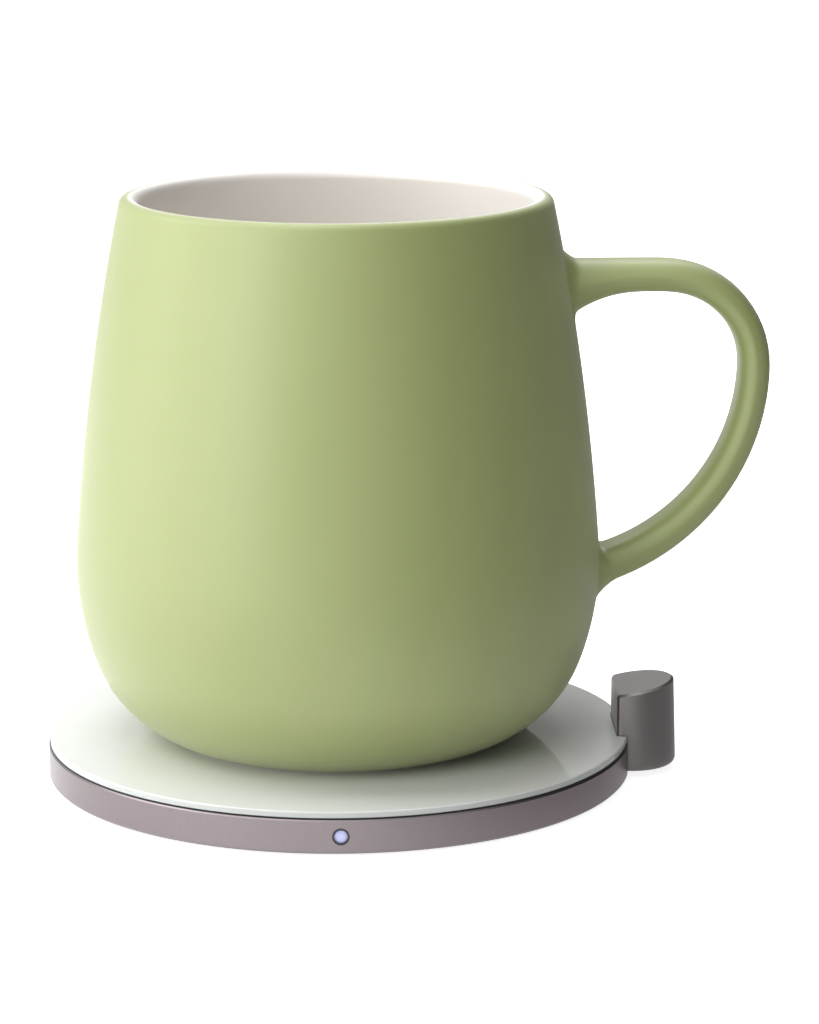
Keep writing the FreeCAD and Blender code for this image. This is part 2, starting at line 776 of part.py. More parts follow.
def make_socket_tongue():
    body = new_body("socket_tongue")
    rear = socket_rear + s.socket_back
    sketch = new_sketch(body, "XZ_Plane", -(rear + s.tab_depth))
    half_x = s.tab_thickness / 2
    half_z = s.tab_width / 2
    rectangle(sketch, socket_x - half_x, socket_x + half_x, socket_middle - half_z, socket_middle + half_z)
    pad(body, sketch, s.tab_depth)


def make_socket_board():
    body = new_body("socket_board")
    sketch = new_sketch(body, "XY_Plane", cap_top)
    rectangle(sketch, socket_board_x, socket_board_x + s.socket_board_thickness,
              -s.socket_board_back, s.socket_board_front)
    pad(body, sketch, socket_middle + s.socket_length / 2 - cap_top)


def make_link_ribbon():
    """The flat cable from the header, over the tongue, to the socket's board."""
    body = new_body("link_ribbon")
    sketch = new_sketch(body, "XY_Plane", ribbon_bottom)
    half = s.ribbon_width / 2
    rectangle(sketch, header_outer, socket_board_x, -half, half)
    pad(body, sketch, s.ribbon_thickness)


def add_arc(sketch, centre, radius, start, end):
    """An arc of known radius, run counterclockwise between two angles in radians."""
    ring = Part.Circle(Vector(centre[0], centre[1], 0), Vector(0, 0, 1), radius.number)
    index = sketch.addGeometry(Part.ArcOfCircle(ring, start, end))
    drive(sketch, sketch.addConstraint(Sketcher.Constraint("Radius", index, radius.number)), radius)
    return index


def add_line(sketch, start, end):
    return sketch.addGeometry(Part.LineSegment(Vector(start[0], start[1], 0), Vector(end[0], end[1], 0)))


def join(sketch, kind, first, first_end, second, second_end):
    sketch.addConstraint(Sketcher.Constraint(kind, first, first_end, second, second_end))


def tangent_centre(centre, reach, height):
    """The centre at this height whose distance from another centre is known, and its bearing."""
    bearing = math.asin((height - centre[1]) / reach)
    return (centre[0] + reach * math.cos(bearing), height), bearing


def mug_arcs():
    """Centres of the side's three tangent arcs and the bearings of their joins, as plain numbers."""
    reach = s.belly_arc.number
    belly = ((s.belly_radius - s.belly_arc).number, (glass_top + s.belly_height).number)
    lower_rise = (s.lower_arc - s.foot_cut - s.belly_height).number / (s.belly_arc - s.lower_arc).number
    centres = {"belly": belly}
    joins = {}
    upper_rise = s.upper_join.number / reach
    for name, full, rise in (("upper", s.upper_arc, upper_rise), ("lower", s.lower_arc, lower_rise)):
        shift = reach - full.number
        centres[name] = (belly[0] + shift * math.sqrt(1 - rise * rise), belly[1] + shift * rise)
        joins[name] = math.asin(rise)
    return centres, joins


def mug_side(sketch, inset, low, high, foot_round=None):
    """Half the mug's section: three tangent arcs, a rounded lip, and a floor, closed on the axis.

    Without an inset it is the outside. With one it is the cavity, whose lip flares outwards.
    """
    outside = inset.number == 0
    centres, joins = mug_arcs()
    belly, upper, lower = s.belly_arc - inset, s.upper_arc - inset, s.lower_arc - inset
    lip = s.lip_round
    lip_reach = (upper - lip if outside else upper + lip).number
    lip_centre, lip_turn = tangent_centre(centres["upper"], lip_reach, (high - lip).number)
    side = add_arc(sketch, centres["belly"], belly, joins["lower"], joins["upper"])
    wall = add_arc(sketch, centres["upper"], upper, joins["upper"], lip_turn)
    turns = (lip_turn, math.pi / 2) if outside else (math.pi / 2, math.pi + lip_turn)
    edge = add_arc(sketch, lip_centre, lip, *turns)
    edge_low, edge_top = (START, END) if outside else (END, START)
    lid = add_line(sketch, (lip_centre[0], high.number), (0, high.number))
    core = add_line(sketch, (0, high.number), (0, low.number))
    pin(sketch, side, CENTRE, s.belly_radius - s.belly_arc, glass_top + s.belly_height)
    rise = (s.lower_arc - s.foot_cut - s.belly_height) / (s.belly_arc - s.lower_arc)
    pin(sketch, side, START, y=glass_top + s.belly_height + belly * rise)
    pin(sketch, side, END, y=glass_top + s.belly_height + belly * (s.upper_join / s.belly_arc))
    join(sketch, "Tangent", side, END, wall, START)
    join(sketch, "Tangent", wall, END, edge, edge_low)
    join(sketch, "Tangent", edge, edge_top, lid, START)
    join(sketch, "Coincident", lid, END, core, START)
    sketch.addConstraint(Sketcher.Constraint("Horizontal", lid))
    pin(sketch, core, START, 0, high)
    pin(sketch, core, END, 0, low)
    if foot_round is None:
        corner, start = tangent_centre(centres["lower"], lower.number, low.number)
    else:
        heel_height = (low + foot_round).number
        corner, start = tangent_centre(centres["lower"], (lower - foot_round).number, heel_height)
    bowl = add_arc(sketch, centres["lower"], lower, start, joins["lower"])
    floor = add_line(sketch, (0, low.number), (corner[0], low.number))
    join(sketch, "Tangent", side, START, bowl, END)
    join(sketch, "Coincident", core, END, floor, START)
    if foot_round is None:
        join(sketch, "Coincident", floor, END, bowl, START)
        pin(sketch, bowl, START, y=low)
        return
    heel = add_arc(sketch, corner, foot_round, -math.pi / 2, start)
    sketch.addConstraint(Sketcher.Constraint("Horizontal", floor))
    join(sketch, "Tangent", bowl, START, heel, END)
    join(sketch, "Tangent", heel, START, floor, END)


def mug_radius(height):
    """The outer radius of the mug's side at a height above its foot, as a plain number."""
    centres, joins = mug_arcs()
    above_belly = height - s.belly_height.number
    name = "belly"
    if above_belly > s.belly_arc.number * math.sin(joins["upper"]):
        name = "upper"
    elif above_belly < s.belly_arc.number * math.sin(joins["lower"]):
        name = "lower"
    radius = {"belly": s.belly_arc, "upper": s.upper_arc, "lower": s.lower_arc}[name].number
    x, y = centres[name]
    return x + math.sqrt(radius * radius - (height + glass_top.number - y) ** 2)


def foot_radius():
    """The mug's outer radius where its lowest arc would meet the foot's plane."""
    shift = s.belly_arc - s.lower_arc
    centre_y = s.lower_arc - s.foot_cut
    drop = s.belly_height - centre_y
    centre_x = s.belly_radius - s.belly_arc + root(shift * shift - drop * drop)
    return centre_x + root(s.lower_arc * s.lower_arc - centre_y * centre_y)


def handle_side(sketch):
    """The handle seen from the side, a closed outline whose ends lie inside the mug's wall.

    A level top, a bend and a wide sweep back to the belly outside, the same inside with a
    tighter sweep, and an arc under the level part that thickens the upper root.
    """
    top_height = s.mug_height - s.handle_top
    top = glass_top + top_height
    under = top - s.handle_thickness
    turn_x = s.handle_reach - s.handle_bend
    turn_y = top - s.handle_bend
    ends = []
    for height in (top_height, s.belly_height):
        ends.append(size(mug_radius(height.number)) - s.mug_wall - s.handle_sink)
    upper_end, lower_end = ends
    wall_x = upper_end + s.mug_wall + s.handle_sink
    flare_start = smaller(wall_x + s.handle_flare_start, turn_x - s.handle_level)
    lines = []
    sweeps = []
    for level, start, bend, sweep in (
            (top, upper_end, s.handle_bend, s.handle_outer_sweep),
            (under, flare_start, s.handle_bend - s.handle_thickness, s.handle_inner_sweep)):
        line = add_line(sketch, (start.number, level.number), (turn_x.number, level.number))
        pin(sketch, line, START, start, level)
        pin(sketch, line, END, turn_x, level)
        corner = add_arc(sketch, (turn_x.number, turn_y.number), bend, 0, math.pi / 2)
        join(sketch, "Tangent", line, END, corner, END)
        join(sketch, "Horizontal", corner, CENTRE, corner, START)
        middle_x = (turn_x + bend - sweep).number
        low_angle = -math.acos((lower_end.number - middle_x) / sweep.number)
        arc = add_arc(sketch, (middle_x, turn_y.number), sweep, low_angle, 0)
        join(sketch, "Tangent", corner, START, arc, END)
        pin(sketch, arc, START, x=lower_end)
        lines.append(line)
        sweeps.append(arc)
    flare_y = (under - s.handle_flare).number
    low_angle = math.acos((upper_end - flare_start).number / s.handle_flare.number)
    flare = add_arc(sketch, (flare_start.number, flare_y), s.handle_flare, math.pi / 2, low_angle)
    join(sketch, "Tangent", lines[1], START, flare, START)
    pin(sketch, flare, END, x=upper_end)
    spots = [sketch.getPoint(flare, END), sketch.getPoint(lines[0], START)]
    closing = sketch.addGeometry(Part.LineSegment(*spots))
    join(sketch, "Coincident", flare, END, closing, START)
    join(sketch, "Coincident", closing, END, lines[0], START)
    spots = [sketch.getPoint(sweeps[0], START), sketch.getPoint(sweeps[1], START)]
    closing = sketch.addGeometry(Part.LineSegment(*spots))
    join(sketch, "Coincident", sweeps[0], START, closing, START)
    join(sketch, "Coincident", closing, END, sweeps[1], START)


def make_mug_body():
    body = new_body("mug_body")
    foot = glass_top
    lip = foot + s.mug_height
    sketch = new_sketch(body, "XZ_Plane")
    handle_side(sketch)
    pad(body, sketch, s.handle_width, both_ways=True)
    half = s.handle_width.number / 2
    inner_end = mug_radius(s.belly_height.number) - s.mug_wall.number

    def is_long_edge(edge):
        box = edge.BoundBox
        on_side = abs(abs(box.Center.y) - half) < SAME_PLACE and box.YLength < SAME_PLACE
        return on_side and not (box.XLength < SAME_PLACE and box.XMax < inner_end)

    fillet(body, s.handle_edge, is_long_edge)
    sketch = new_sketch(body, "XZ_Plane")
    mug_side(sketch, size(0), foot, lip, s.foot_round)
    turn_about_z(body, "PartDesign::Revolution", sketch)

    def is_root(edge):
        spots = [edge.valueAt(edge.FirstParameter + (edge.LastParameter - edge.FirstParameter) * k / 4)
                 for k in range(5)]
        near = all(abs(p.y) < half + ABOUT_THERE and p.x > 0 for p in spots)
        on_wall = all(abs(math.hypot(p.x, p.y) - mug_radius(p.z - foot.number)) < ABOUT_THERE for p in spots)
        return near and on_wall

    fillet(body, s.handle_fillet, is_root)
    sketch = new_sketch(body, "XZ_Plane")
    mug_side(sketch, s.mug_wall, foot + s.mug_floor, lip)
    doc.recompute()
    before = body.Shape.Volume
    turn_about_z(body, "PartDesign::Groove", sketch)
    doc.recompute()
    if body.Shape.Volume > before / 2:
        raise RuntimeError("the mug isn't hollow")
    disc_pocket(body, foot, foot + s.foot_recess, foot_radius() - s.foot_ring_width)


def make_heating_disc():
    body = new_body("heating_disc")
    top = glass_top + s.foot_recess
    disc_pad(body, top - s.disc_thickness, top, foot_radius() - s.foot_ring_width - s.disc_gap)


make_rim_housing()
make_glass_gasket()
make_glass_top()
make_heat_shield()
make_base_plate()
make_foot_pad()
make_base_screws()
make_board_screws()
make_post_screws()
make_coil_bracket()
make_ferrite_disc()
make_transmit_coil()
make_coil_leads()
make_sensor_seat()
make_temperature_sensor()
make_main_board()
make_components()
make_light()
make_post_housing()
make_post_cap()
make_power_socket()
make_socket_tongue()
make_socket_board()
make_link_ribbon()
make_mug_body()
make_heating_disc()
doc.recompute()

for item in doc.Objects:
    if "Invalid" in item.State or "Error" in item.State:
        raise RuntimeError(f"{item.Name} failed: {item.State}")
os.makedirs("parts", exist_ok=True)
for body in NODES:
    shape = body.Shape
    if shape.isNull() or not shape.isValid():
        raise RuntimeError(f"{body.Label} has no valid shape")
    shape.exportStep(f"parts/{body.Label}.step")
    box = shape.BoundBox
    print(f"{body.Label:20s} solids {len(shape.Solids)} volume {shape.Volume:10.2f} "
          f"x {box.XMin:7.2f} {box.XMax:7.2f} y {box.YMin:7.2f} {box.YMax:7.2f} "
          f"z {box.ZMin:7.2f} {box.ZMax:7.2f}")
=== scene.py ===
# %% [markdown]
# # A mug on its heated base
#
# The object is a low round base with a glass top and a porcelain mug that stands on it. The
# solid parts come in as a fixed frame, already in metres and already in place. This script
# gives them their looks: it rebuilds the mug as a smooth surface, finishes the parts that
# show, and sets up the lamps and the camera.

# %% Open the frame and keep its box
import math

import bmesh
import bpy
from mathutils import Matrix, Vector


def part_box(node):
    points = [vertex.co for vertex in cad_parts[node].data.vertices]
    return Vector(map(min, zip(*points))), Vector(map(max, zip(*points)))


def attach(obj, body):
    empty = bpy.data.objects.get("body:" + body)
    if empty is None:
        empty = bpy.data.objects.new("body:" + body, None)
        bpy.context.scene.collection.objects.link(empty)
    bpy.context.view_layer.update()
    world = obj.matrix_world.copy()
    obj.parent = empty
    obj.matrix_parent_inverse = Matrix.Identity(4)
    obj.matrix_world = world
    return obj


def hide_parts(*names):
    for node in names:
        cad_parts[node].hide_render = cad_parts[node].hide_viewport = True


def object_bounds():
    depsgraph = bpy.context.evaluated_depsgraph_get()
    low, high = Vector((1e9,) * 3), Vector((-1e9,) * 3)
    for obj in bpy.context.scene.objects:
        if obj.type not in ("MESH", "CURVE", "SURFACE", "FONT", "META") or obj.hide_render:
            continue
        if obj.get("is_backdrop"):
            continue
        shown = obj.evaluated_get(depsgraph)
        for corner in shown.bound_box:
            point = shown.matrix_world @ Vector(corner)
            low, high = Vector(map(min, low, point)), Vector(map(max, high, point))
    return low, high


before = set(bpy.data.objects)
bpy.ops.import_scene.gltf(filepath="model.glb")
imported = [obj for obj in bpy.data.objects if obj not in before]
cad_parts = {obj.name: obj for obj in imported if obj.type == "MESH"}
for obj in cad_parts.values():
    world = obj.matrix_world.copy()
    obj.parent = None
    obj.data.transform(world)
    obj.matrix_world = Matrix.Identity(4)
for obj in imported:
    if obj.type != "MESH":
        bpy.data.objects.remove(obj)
CAD_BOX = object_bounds()
print("frame box", [tuple(round(c, 4) for c in corner) for corner in CAD_BOX])

# %% [markdown]
# Everything below is worked out in millimetres, because the real parts are measured that way,
# and turned to metres at the last moment. Two small helpers do most of the work: one turns a
# sRGB hex colour to the linear numbers that shaders use, the other adds a shader node with its
# settings and its links in one line.

# %% Units, colours and shader nodes
MM = 0.001


def linear(hex_code, share=1.0):
    """A sRGB hex colour, or a share of its light, as linear red, green, blue and an alpha of 1."""
    channels = [int(hex_code[i:i + 2], 16) / 255 for i in (1, 3, 5)]
    light = [c / 12.92 if c <= 0.04045 else ((c + 0.055) / 1.055) ** 2.4 for c in channels]
    return [share * c for c in light] + [1.0]


def add_node(tree, kind, inputs=None, **settings):
    """Adds a node. An input is a value, or another node's output socket to link to."""
    node = tree.nodes.new(kind)
    for name, value in settings.items():
        setattr(node, name, value)
    for name, value in (inputs or {}).items():
        if isinstance(value, bpy.types.NodeSocket):
            tree.links.new(value, node.inputs[name])
        else:
            node.inputs[name].default_value = value
    return node


def start_material(name, **principled):
    """An empty material with a Principled shader on its output, and Object coordinates in mm."""
    material = bpy.data.materials.new(name)
    material.use_nodes = True
    tree = material.node_tree
    tree.nodes.clear()
    shader = add_node(tree, "ShaderNodeBsdfPrincipled", principled)
    add_node(tree, "ShaderNodeOutputMaterial", {"Surface": shader.outputs["BSDF"]})
    place = add_node(tree, "ShaderNodeTexCoord")
    in_mm = add_node(tree, "ShaderNodeVectorMath", {0: place.outputs["Object"], "Scale": 1 / MM},
                     operation="SCALE")
    return material, tree, shader, in_mm.outputs["Vector"]


print("a middle grey is", round(linear("#808080")[0], 3), "in linear light")


# %% [markdown]
# The camera stands 0.6 m in front of the object and looks down at it by 12.6 degrees, with the
# field of view of a short telephoto lens, as product photographs are taken. Its place was
# found from how round the base and the mug's rim look.

# %% Camera
CAMERA_PLACE = Vector((-1.92, -598.3, 178.7)) * MM
CAMERA_PITCH = 12.567
CAMERA_YAW = 1.35
CAMERA_ROLL = 0.053
CAMERA_LENS = 126.23

camera_data = bpy.data.cameras.new("camera")
camera_data.lens = CAMERA_LENS
camera_data.sensor_width = 36.0
camera = bpy.data.objects.new("camera", camera_data)
bpy.context.scene.collection.objects.link(camera)
turn = Matrix.Rotation(math.radians(-CAMERA_YAW), 4, "Z")
tilt = Matrix.Rotation(math.radians(90 - CAMERA_PITCH), 4, "X")
roll = Matrix.Rotation(math.radians(-CAMERA_ROLL), 4, "Z")
camera.matrix_world = Matrix.Translation(CAMERA_PLACE) @ (turn @ tilt) @ roll
bpy.context.scene.camera = camera
bpy.context.scene.view_settings.view_transform = "Standard"
print("camera", tuple(round(c, 3) for c in camera.location))

# %% [markdown]
# The mug is one porcelain shape. Its side is three arcs that run into each other without a
# corner: a nearly straight upper wall, a full belly and a tight turn into the foot. The rim is
# a half round. Half of the section is drawn once as a chain of edges and then spun round the
# axis, as a potter's template would do it. A small drawing pen keeps the chain readable: it
# either goes straight to a point or turns about a centre.

# %% The mug's driving sizes, in mm above its foot
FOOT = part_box("mug_body")[0].z / MM
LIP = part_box("mug_body")[1].z / MM
BELLY_RADIUS = 44.64
BELLY_HEIGHT = 30.0
BELLY_ARC = 48.5
UPPER_ARC = 431.0
LOWER_ARC = 21.6
UPPER_JOIN = 3.4
WALL = 3.2
FLOOR = 5.0
FOOT_CUT = 1.03
LIP_ROUND = 1.45
HEEL_ROUND = 0.8
RECESS_DEPTH = 0.9
RECESS_RADIUS = 24.5
COLUMNS = 80
print("mug height", round(LIP - FOOT, 2), "mm")


# %% [markdown]
# A section could be typed as a list of points, but then nobody could see that it is made of
# arcs. The pen keeps one vertex in hand. Each move extrudes that vertex or spins it, which leaves
# an edge behind, and the number on the point says whether it lies inside the mug.

# %% A pen that draws a chain of edges in the XZ plane
class Pen:
    """Draws with the last vertex of a chain. Every vertex keeps how far inside the mug it is."""

    def __init__(self, mesh, x, z):
        self.mesh = mesh
        self.layer = mesh.verts.layers.float.new("inside")
        self.vertex = mesh.verts.new((x, 0, z))
        self.inside = 0.0

    def place(self):
        return self.vertex.co.x, self.vertex.co.z

    def line_to(self, x, z, steps=1):
        start = self.vertex.co.copy()
        for step in range(1, steps + 1):
            made = bmesh.ops.extrude_vert_indiv(self.mesh, verts=[self.vertex])
            self.vertex = made["verts"][0]
            self.vertex.co = start.lerp(Vector((x, 0, z)), step / steps)
            self.vertex[self.layer] = self.inside

    def arc(self, centre, start, end, steps):
        """Turns about a centre from one bearing to another, both in radians above +X."""
        for _ in range(steps):
            made = bmesh.ops.spin(self.mesh, geom=[self.vertex], cent=(centre[0], 0, centre[1]),
                                  axis=(0, 1, 0), angle=(start - end) / steps, steps=1,
                                  use_duplicate=False)
            self.vertex = next(g for g in made["geom_last"] if isinstance(g, bmesh.types.BMVert))
            self.vertex[self.layer] = self.inside


print("pen moves:", [move for move in vars(Pen) if not move.startswith("_")])

# %% [markdown]
# The centres of the three arcs follow from their radii, because two arcs that touch without a
# corner have their centres on one line with the join. The bearing of each join is the same for
# the outside and for the cavity, which is the outside moved in by the wall.

# %% Centres and bearings of the side's arcs
belly_centre = (BELLY_RADIUS - BELLY_ARC, FOOT + BELLY_HEIGHT)
upper_bearing = math.asin(UPPER_JOIN / BELLY_ARC)
lower_bearing = math.asin((LOWER_ARC - FOOT_CUT - BELLY_HEIGHT) / (BELLY_ARC - LOWER_ARC))


def touching_centre(radius, bearing):
    """The centre of an arc of this radius that touches the belly's arc at this bearing."""
    reach = BELLY_ARC - radius
    return belly_centre[0] + reach * math.cos(bearing), belly_centre[1] + reach * math.sin(bearing)


upper_centre = touching_centre(UPPER_ARC, upper_bearing)
lower_centre = touching_centre(LOWER_ARC, lower_bearing)


def round_between(centre, reach, height):
    """Where a small round's centre lies at a height, at a known distance from an arc's centre."""
    bearing = math.asin((height - centre[1]) / reach)
    return (centre[0] + reach * math.cos(bearing), height), bearing


lip_centre, lip_bearing = round_between(upper_centre, UPPER_ARC - LIP_ROUND, LIP - LIP_ROUND)
inner_lip_centre, inner_lip_bearing = round_between(upper_centre, UPPER_ARC - WALL + LIP_ROUND,
                                                    LIP - LIP_ROUND)
heel_centre, heel_bearing = round_between(lower_centre, LOWER_ARC - HEEL_ROUND, FOOT + HEEL_ROUND)
floor_bearing = math.asin((FOOT + FLOOR - lower_centre[1]) / (LOWER_ARC - WALL))
print("lip leans in", round(math.degrees(lip_bearing), 1), "degrees")

# %% [markdown]
# The handle grows out of the wall in one piece, so the wall needs an opening of the right size
# where each root lands. The rows of the side are set so that four of them span each root, and
# with 80 columns four of those span the handle's width and its fillets. The lower opening
# reaches further down than the bar itself, because the clay was smoothed down there.

# %% Rows that frame the handle's roots
LOWER_ROOT = (23.6, 32.5)
UPPER_ROOT = (70.0, 83.0)


def belly_turn(height):
    return math.asin((height - BELLY_HEIGHT) / BELLY_ARC)


def upper_turn(height):
    return math.asin((FOOT + height - upper_centre[1]) / UPPER_ARC)


print("root rows", LOWER_ROOT, UPPER_ROOT)

# %% [markdown]
# The line starts in the middle of the recess under the foot, goes out over the foot ring, up the
# outside, over the lip, down the inside and back to the axis. The mug's heated layer sits in the
# recess. Where one arc ends, the next one starts, with the bearings from above. The green glaze
# turns white over the crest of the lip: a quarter on the last step up, most of it on the crest.

# %% Draw half the section
SOFT_CORNER = 0.15
LIP_STEPS = 8
CREST_WHITE = (0.25, 0.8)
FLOOR_CORNER = 1.5

mug_mesh = bmesh.new()
pen = Pen(mug_mesh, 0, FOOT + RECESS_DEPTH)
pen.line_to(RECESS_RADIUS, FOOT + RECESS_DEPTH, 4)
pen.line_to(RECESS_RADIUS + SOFT_CORNER, FOOT + RECESS_DEPTH - SOFT_CORNER)
pen.line_to(RECESS_RADIUS + SOFT_CORNER + 0.1, FOOT + SOFT_CORNER)
pen.line_to(RECESS_RADIUS + 3 * SOFT_CORNER, FOOT)
pen.line_to(heel_centre[0], FOOT)
pen.arc(heel_centre, -math.pi / 2, heel_bearing, 4)
pen.arc(lower_centre, heel_bearing, lower_bearing, 8)
pen.arc(belly_centre, lower_bearing, belly_turn(LOWER_ROOT[0]), 4)
pen.arc(belly_centre, belly_turn(LOWER_ROOT[0]), belly_turn(LOWER_ROOT[1]), 4)
pen.arc(belly_centre, belly_turn(LOWER_ROOT[1]), upper_bearing, 1)
pen.arc(upper_centre, upper_bearing, upper_turn(UPPER_ROOT[0]), 12)
pen.arc(upper_centre, upper_turn(UPPER_ROOT[0]), upper_turn(UPPER_ROOT[1]), 4)
pen.arc(upper_centre, upper_turn(UPPER_ROOT[1]), lip_bearing, 3)
lip_step = (math.pi / 2 - lip_bearing) / LIP_STEPS
for step in range(LIP_STEPS):
    pen.inside = CREST_WHITE[0] if step == LIP_STEPS - 1 else 0.0
    pen.arc(lip_centre, lip_bearing + lip_step * step, lip_bearing + lip_step * (step + 1), 1)
pen.inside = CREST_WHITE[1]
pen.line_to(inner_lip_centre[0], LIP)
pen.inside = 1.0
pen.arc(inner_lip_centre, math.pi / 2, math.pi + inner_lip_bearing, 8)
pen.arc(upper_centre, inner_lip_bearing, upper_bearing, 20)
pen.arc(belly_centre, upper_bearing, lower_bearing, 8)
pen.arc(lower_centre, lower_bearing, floor_bearing, 8)
corner_x = pen.place()[0]
pen.line_to(corner_x - FLOOR_CORNER, FOOT + FLOOR)
pen.line_to(0, FOOT + FLOOR, 4)
section = {"verts": len(mug_mesh.verts), "edges": len(mug_mesh.edges)}
print("mug section", section)

# %% [markdown]
# A full spin turns the line into a closed skin. The last step is merged with the first, and the
# points on the axis, which every step repeats, are merged into one pole at each end.

# %% Spin the section about the axis and close its poles
bmesh.ops.spin(mug_mesh, geom=mug_mesh.verts[:] + mug_mesh.edges[:], cent=(0, 0, 0), axis=(0, 0, 1),
               angle=math.tau, steps=COLUMNS, use_merge=True, use_duplicate=False)
bmesh.ops.remove_doubles(mug_mesh, verts=mug_mesh.verts[:], dist=1e-3)
print("mug shell faces", len(mug_mesh.faces))

# %% [markdown]
# The handle is a flat bar with rounded edges that was bent while soft: level at the top, round
# a tight bend, and back to the belly on a wide sweep. Its section is a rectangle whose corners
# are bevelled, sixteen points in all, which is what the openings in the wall have. The section
# is then carried from place to place along the bar. Each move is a matrix, so the ring turns,
# shifts and thickens in one step.

# %% The handle's sizes, in mm
HANDLE_TOP = LIP - 11.05
HANDLE_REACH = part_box("mug_body")[1].x / MM
HANDLE_BEND = 17.85
OUTER_SWEEP = 39.5
INNER_SWEEP = 33.1
HANDLE_FLARE = 18.6
FLARE_START = 51.0
HANDLE_WIDTH = 10.0
HANDLE_THICKNESS = 5.3
HANDLE_EDGE = 2.3
bend_x = HANDLE_REACH - HANDLE_BEND
bend_z = HANDLE_TOP - HANDLE_BEND
print("handle bends about", (round(bend_x, 2), round(bend_z, 2)))


# %% [markdown]
# The bar could be a curve with a bevel, but it gets thicker towards the wall on its underside
# only, so each place gets its own matrix. On the level run the top stays at one height. Round the
# bend the leaning angle grows by equal steps. On the sweep the outer and the inner side are arcs
# with different centres, and the section is as thick as the distance between them.

# %% Where the section stands along the handle
def station(x, z, lean, thickness):
    """The section's matrix: its middle, how far it leans from level, and its thickness."""
    stretch = Matrix.Scale(thickness / HANDLE_THICKNESS, 4, (0, 0, 1))
    return Matrix.Translation((x, 0, z)) @ Matrix.Rotation(math.radians(lean), 4, "Y") @ stretch


LEVEL_PLACES = (39.9, 40.8, 42.0, 44.0, 46.3, 48.6, FLARE_START, (FLARE_START + bend_x) / 2)
BEND_STEPS = 8
SWEEP_FALLS = (6, 12, 18, 24, 30, 36, 42, 48, 54, 60, 65, 69, 71.5)

stations = []
for x in LEVEL_PLACES:
    gap = max(FLARE_START - x, 0)
    drop = HANDLE_FLARE - math.sqrt(HANDLE_FLARE ** 2 - gap ** 2)
    thickness = HANDLE_THICKNESS + drop
    stations.append(station(x, HANDLE_TOP - thickness / 2, 0, thickness))
middle_bend = HANDLE_BEND - HANDLE_THICKNESS / 2
for step in range(BEND_STEPS + 1):
    lean = 90 * step / BEND_STEPS
    bearing = math.radians(90 - lean)
    x = bend_x + middle_bend * math.cos(bearing)
    z = bend_z + middle_bend * math.sin(bearing)
    stations.append(station(x, z, lean, HANDLE_THICKNESS))
for fall_degrees in SWEEP_FALLS:
    fall = math.radians(fall_degrees)
    way = Vector((math.cos(fall) - 1, 0, -math.sin(fall)))
    outer = Vector((HANDLE_REACH, 0, bend_z)) + way * OUTER_SWEEP
    inner = Vector((HANDLE_REACH - HANDLE_THICKNESS, 0, bend_z)) + way * INNER_SWEEP
    middle = (outer + inner) / 2
    stations.append(station(middle.x, middle.z, 90 + math.degrees(fall), (outer - inner).length))
print("handle sections", len(stations))

# %% [markdown]
# Four points make the rectangle, a vertex bevel rounds its corners, and one cut in each straight
# side gives sixteen points in all.

# %% The section itself, a rectangle with bevelled corners
def is_straight(edge):
    """Whether an edge of the section runs along its width or its thickness."""
    start, end = (v.co for v in edge.verts)
    return any(abs(start[axis] - end[axis]) < 1e-4 for axis in (1, 2))


handle_mesh = bmesh.new()
half_width, half_thickness = HANDLE_WIDTH / 2, HANDLE_THICKNESS / 2
corners = [handle_mesh.verts.new((0, y * half_width, z * half_thickness))
           for y, z in ((1, 1), (-1, 1), (-1, -1), (1, -1))]
bmesh.ops.contextual_create(handle_mesh, geom=corners)
bmesh.ops.bevel(handle_mesh, geom=handle_mesh.verts[:], offset=HANDLE_EDGE, offset_type="OFFSET",
                segments=2, profile=0.5, affect="VERTICES", material=-1)
straight = [e for e in handle_mesh.edges if is_straight(e)]
bmesh.ops.subdivide_edges(handle_mesh, edges=straight, cuts=1)
bmesh.ops.delete(handle_mesh, geom=handle_mesh.faces[:], context="FACES_ONLY")
print("section points", len(handle_mesh.verts))

# %% [markdown]
# The ring of edges is extruded once for each place, and the new ring is moved from where the last
# one stands to where the next one stands. The two ends stay open, because they join the wall.

# %% Carry the section along the handle
ring = handle_mesh.edges[:]
bmesh.ops.transform(handle_mesh, matrix=stations[0], verts=handle_mesh.verts[:])
for before, after in zip(stations, stations[1:]):
    made = bmesh.ops.extrude_edge_only(handle_mesh, edges=ring)["geom"]
    verts = [g for g in made if isinstance(g, bmesh.types.BMVert)]
    ring = [g for g in made if isinstance(g, bmesh.types.BMEdge) and all(v in verts for v in g.verts)]
    bmesh.ops.transform(handle_mesh, matrix=after @ before.inverted(), verts=verts)
handle_data = bpy.data.meshes.new("handle")
handle_mesh.to_mesh(handle_data)
handle_mesh.free()
print("handle faces", len(handle_data.polygons))

# %% [markdown]
# Now the two meet. The wall's faces under each root are taken out, which leaves an opening
# with sixteen edges, and each of the handle's ends has sixteen too. The faces are inset before
# they go, so a narrow ring of wall stays round the opening and keeps the fillet small. The
# corners of the opening are drawn in a little, because the bar's own corners are round.

# %% Open the wall where the roots land
ROOT_ANGLE = math.radians(9.1)
ROOT_MARGINS = {LOWER_ROOT: 0.5, UPPER_ROOT: 0.4}
ROW_SLACK = 0.05
CORNER_PULL = 0.35


def under_root(face, low, high):
    """Whether a face of the outer wall lies behind the handle between two heights."""
    spots = [v.co for v in face.verts]
    in_rows = all(FOOT + low - ROW_SLACK < c.z < FOOT + high + ROW_SLACK for c in spots)
    in_columns = all(abs(math.atan2(c.y, c.x)) < ROOT_ANGLE for c in spots)
    inside = mug_mesh.verts.layers.float["inside"]
    return in_rows and in_columns and all(v[inside] < 0.5 for v in face.verts)


